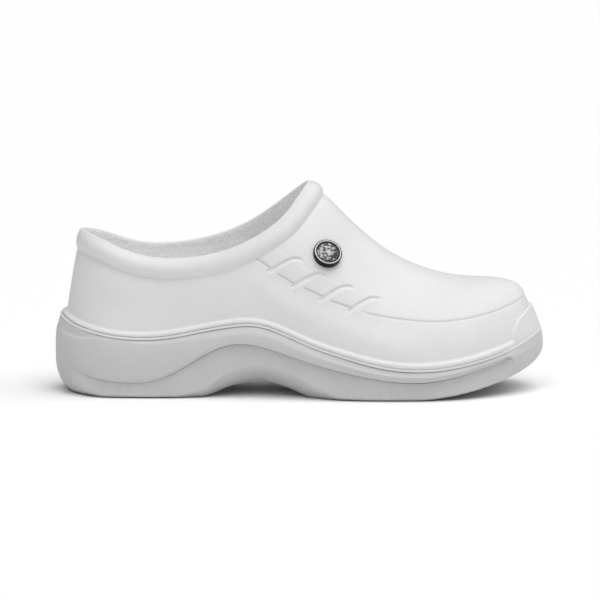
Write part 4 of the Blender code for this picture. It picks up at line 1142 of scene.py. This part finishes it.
def ranged(tree, value, low, high, start=0.0, stop=1.0):
    made = tree.nodes.new("ShaderNodeMapRange")
    made.inputs["From Min"].default_value, made.inputs["From Max"].default_value = start, stop
    made.inputs["To Min"].default_value, made.inputs["To Max"].default_value = low, high
    tree.links.new(value, made.inputs["Value"])
    return made.outputs["Result"]


def tint(tree, value, dark, light, start=0.3, stop=0.7):
    ramp = tree.nodes.new("ShaderNodeValToRGB")
    ramp.color_ramp.elements[0].position, ramp.color_ramp.elements[1].position = start, stop
    ramp.color_ramp.elements[0].color, ramp.color_ramp.elements[1].color = (*dark, 1.0), (*light, 1.0)
    tree.links.new(value, ramp.inputs["Fac"])
    return ramp.outputs["Color"]


def bump(tree, heights, shader, strength=1.0):
    """Chains bumps; heights holds (socket, distance in metres)."""
    last = None
    for value, distance in heights:
        made = node(tree, "ShaderNodeBump", Strength=strength, Distance=distance)
        tree.links.new(value, made.inputs["Height"])
        if last is not None:
            tree.links.new(last, made.inputs["Normal"])
        last = made.outputs["Normal"]
    tree.links.new(last, shader.inputs["Normal"])


def grey(v):
    return (v, v, v)


def foam(name, light, rough, grain, coat=0.05, low=1.0):
    """Matt closed-cell foam: faint mottling, a fine moulded grain, a soft skin sheen; a low below 1 paints shade on it,
    the colour falling to that share of itself at the ground.
    """
    mat, tree, shader = material(name, grey(light), rough)
    where = coordinates(tree)
    broad = noise(tree, where, 55.0, 2.0)
    fine = noise(tree, where, 1500.0, 2.0, 0.6)
    speck = noise(tree, where, 3600.0, 1.0)
    mix = tree.nodes.new("ShaderNodeMath")
    mix.operation = "ADD"
    tree.links.new(ranged(tree, broad, 0.0, 0.6), mix.inputs[0])
    tree.links.new(ranged(tree, fine, 0.0, 0.4), mix.inputs[1])
    colour = tint(tree, mix.outputs["Value"], grey(light * 0.965), grey(light), 0.35, 0.65)
    # painted shade: the colour darkens towards the floor, from full at 34 mm height down to low at the ground
    if low < 1.0:
        split = tree.nodes.new("ShaderNodeSeparateXYZ")
        tree.links.new(where, split.inputs["Vector"])
        scale = tree.nodes.new("ShaderNodeVectorMath")
        scale.operation = "SCALE"
        tree.links.new(colour, scale.inputs[0])
        tree.links.new(ranged(tree, split.outputs["Z"], low, 1.0, 0.0, 0.034), scale.inputs["Scale"])
        colour = scale.outputs["Vector"]
    tree.links.new(colour, shader.inputs["Base Color"])
    tree.links.new(ranged(tree, fine, rough - 0.07, rough + 0.07, 0.3, 0.7), shader.inputs["Roughness"])
    shader.inputs["Specular IOR Level"].default_value = 0.38
    shader.inputs["Coat Weight"].default_value = coat
    shader.inputs["Coat Roughness"].default_value = 0.42
    bump(tree, [(fine, grain), (speck, grain * 0.5)], shader)
    return mat


def lining_leather(name, light):
    """Pebbled inside of the upper: rounded cells about 1.5 mm across with a fine grain on them.

    The faint glow is painted light that brightens the inside of the upper, and so is its light colour, set well above
    the outer foam's; the darker grooves between the pebbles are painted shade."""
    mat, tree, shader = material(name, grey(light), 0.6)
    where = coordinates(tree)
    warp = node(tree, "ShaderNodeTexNoise", Scale=300.0, Detail=1.0)
    tree.links.new(where, warp.inputs["Vector"])
    shift = tree.nodes.new("ShaderNodeVectorMath")
    shift.operation = "MULTIPLY_ADD"
    shift.inputs[1].default_value = (0.0008, 0.0008, 0.0008)
    tree.links.new(warp.outputs["Color"], shift.inputs[0])
    tree.links.new(where, shift.inputs[2])
    pebble = cells(tree, shift.outputs["Vector"], 620.0, "SMOOTH_F1", 0.35)
    fine = noise(tree, where, 2600.0, 2.0)
    height = ranged(tree, pebble, 1.0, 0.0, 0.05, 0.75)
    # painted shade: the colour is darker in the grooves between the pebbles
    tree.links.new(tint(tree, height, grey(light * 0.95), grey(light), 0.1, 0.6), shader.inputs["Base Color"])
    tree.links.new(ranged(tree, height, 0.68, 0.52), shader.inputs["Roughness"])
    shader.inputs["Specular IOR Level"].default_value = 0.4
    shader.inputs["Sheen Weight"].default_value = 0.6
    shader.inputs["Sheen Roughness"].default_value = 0.6
    # painted light: a faint glow that brightens the shaded inside of the upper
    shader.inputs["Emission Strength"].default_value = 0.03
    bump(tree, [(height, 0.00033), (fine, 0.00005)], shader)
    return mat


def tread_rubber(name, light):
    """Matt tread rubber: fine cloudy grain, its tone a little uneven."""
    mat, tree, shader = material(name, grey(light), 0.62)
    where = coordinates(tree)
    broad = noise(tree, where, 70.0, 2.0)
    fine = noise(tree, where, 1900.0, 3.0, 0.6)
    tree.links.new(tint(tree, broad, grey(light * 0.96), grey(light), 0.35, 0.65), shader.inputs["Base Color"])
    tree.links.new(ranged(tree, fine, 0.56, 0.7, 0.3, 0.7), shader.inputs["Roughness"])
    shader.inputs["Specular IOR Level"].default_value = 0.35
    bump(tree, [(fine, 0.00007)], shader)
    return mat


def footbed_foam(name, light):
    """Insole pad: soft foam with small round dimples, painted darker in their hollows as shade."""
    mat, tree, shader = material(name, grey(light), 0.72)
    where = coordinates(tree)
    dimple = cells(tree, where, 300.0, "F1")
    fine = noise(tree, where, 1700.0, 2.0)
    height = ranged(tree, dimple, 0.0, 1.0, 0.12, 0.34)
    # painted shade: the colour is darker at the bottom of each dimple
    tree.links.new(tint(tree, height, grey(light * 0.86), grey(light), 0.0, 0.8), shader.inputs["Base Color"])
    tree.links.new(ranged(tree, fine, 0.66, 0.8, 0.3, 0.7), shader.inputs["Roughness"])
    bump(tree, [(height, 0.00025), (fine, 0.00006)], shader)
    return mat


def black_plastic(name):
    mat, tree, shader = material(name, grey(0.005), 0.3)
    where = coordinates(tree)
    haze = noise(tree, where, 900.0, 2.0)
    tree.links.new(ranged(tree, haze, 0.2, 0.36, 0.3, 0.7), shader.inputs["Roughness"])
    tree.links.new(tint(tree, haze, grey(0.004), grey(0.007)), shader.inputs["Base Color"])
    shader.inputs["Specular IOR Level"].default_value = 0.16
    bump(tree, [(haze, 0.00001)], shader)
    return mat


def bright_metal(name):
    mat, tree, shader = material(name, grey(0.50), 0.4, 0.7)
    where = coordinates(tree)
    haze = noise(tree, where, 1400.0, 2.0)
    tree.links.new(ranged(tree, haze, 0.34, 0.46, 0.3, 0.7), shader.inputs["Roughness"])
    tree.links.new(tint(tree, haze, grey(0.46), grey(0.54)), shader.inputs["Base Color"])
    bump(tree, [(haze, 0.000008)], shader)
    return mat


def spun_metal(name):
    """Plain dark insert: low metal lens, clouded dark and light like a worn casting."""
    mat, tree, shader = material(name, grey(0.16), 0.36, 0.8)
    where = coordinates(tree)
    cloud = noise(tree, where, 640.0, 2.0, 0.45)
    haze = noise(tree, where, 1600.0, 2.0)
    tree.links.new(tint(tree, cloud, grey(0.03), grey(0.26), 0.43, 0.61), shader.inputs["Base Color"])
    tree.links.new(ranged(tree, haze, 0.3, 0.44, 0.3, 0.7), shader.inputs["Roughness"])
    bump(tree, [(cloud, 0.00014), (haze, 0.00001)], shader)
    return mat


# ---------------------------------------------------------------- put together
UPPER = make_upper()
UPPER.data.materials.append(foam("white_foam", 0.757, 0.52, 0.00015))
# the lining's light colour is painted light, set above the outer foam's to brighten the shaded inside
UPPER.data.materials.append(lining_leather("pebbled_lining", 0.98))
MIDSOLE = make_midsole()
# the sole foam's colour carries painted shade, darker towards the ground (low=0.88)
MIDSOLE.data.materials.append(foam("white_sole_foam", 0.603, 0.55, 0.00006, low=0.88))
OUTSOLE = make_outsole()
OUTSOLE.data.materials.append(tread_rubber("white_tread", 0.59))
INSOLE = make_insole()
INSOLE.data.materials.append(footbed_foam("footbed", 0.95))
RING, DISC = make_rivet()
RING.data.materials.append(black_plastic("black_plastic"))
DISC.data.materials.append(black_plastic("black_field"))
DISC.data.materials.append(bright_metal("bright_rim"))
DISC.data.materials.append(spun_metal("dark_insert"))

for piece, name in ((UPPER, "upper"), (MIDSOLE, "midsole"), (OUTSOLE, "outsole"), (INSOLE, "insole"), (RING, "badge_ring"), (DISC, "badge_disc")):
    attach(piece, "root")
    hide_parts(name)

# ---------------------------------------------------------------- floor, light and camera
floor_mesh = bpy.data.meshes.new("floor")
floor_mesh.from_pydata([(-8, -8, 0), (8, -8, 0), (8, 8, 0), (-8, 8, 0)], [], [(0, 1, 2, 3)])
floor = bpy.data.objects.new("floor", floor_mesh)
bpy.context.scene.collection.objects.link(floor)
floor_mat, floor_tree, floor_shader = material("pale_floor", grey(0.95), 0.9)
floor_shader.inputs["Specular IOR Level"].default_value = 0.1
floor_mesh.materials.append(floor_mat)

world = bpy.data.worlds.new("studio")
world.use_nodes = True
world.node_tree.nodes["Background"].inputs["Color"].default_value = (1.0, 1.0, 1.0, 1.0)
world.node_tree.nodes["Background"].inputs["Strength"].default_value = 0.206
bpy.context.scene.world = world


def soft_light(name, direction, strength, spread):
    """Even light from far away, softened over a wide angle."""
    lamp = bpy.data.lights.new(name, "SUN")
    lamp.energy = strength
    lamp.angle = math.radians(spread)
    made = bpy.data.objects.new(name, lamp)
    made.location = Vector(direction) * 2.0
    made.rotation_euler = (-Vector(direction)).to_track_quat("-Z", "Y").to_euler()
    bpy.context.scene.collection.objects.link(made)
    return made


soft_light("front", (0.0, -0.415, 0.91), 1.73, 58.0)
soft_light("toe_side", (0.423, 0.0, 0.906), 1.25, 55.0)

VIEW_ELEVATION, VIEW_DISTANCE, VIEW_HALF = math.radians(8.0), 1.6, 0.1018
VIEW_TARGET = Vector((0.00023, 0.0, 0.0484))
lens = bpy.data.cameras.new("camera")
lens.sensor_fit = "HORIZONTAL"
lens.angle = 2 * math.atan(VIEW_HALF)
camera = bpy.data.objects.new("camera", lens)
camera.location = VIEW_TARGET + Vector((0.0, -math.cos(VIEW_ELEVATION), math.sin(VIEW_ELEVATION))) * VIEW_DISTANCE
camera.rotation_euler = (VIEW_TARGET - camera.location).to_track_quat("-Z", "Y").to_euler()
bpy.context.scene.collection.objects.link(camera)
bpy.context.scene.camera = camera
bpy.context.scene.view_settings.view_transform = "Standard"

bpy.context.view_layer.update()
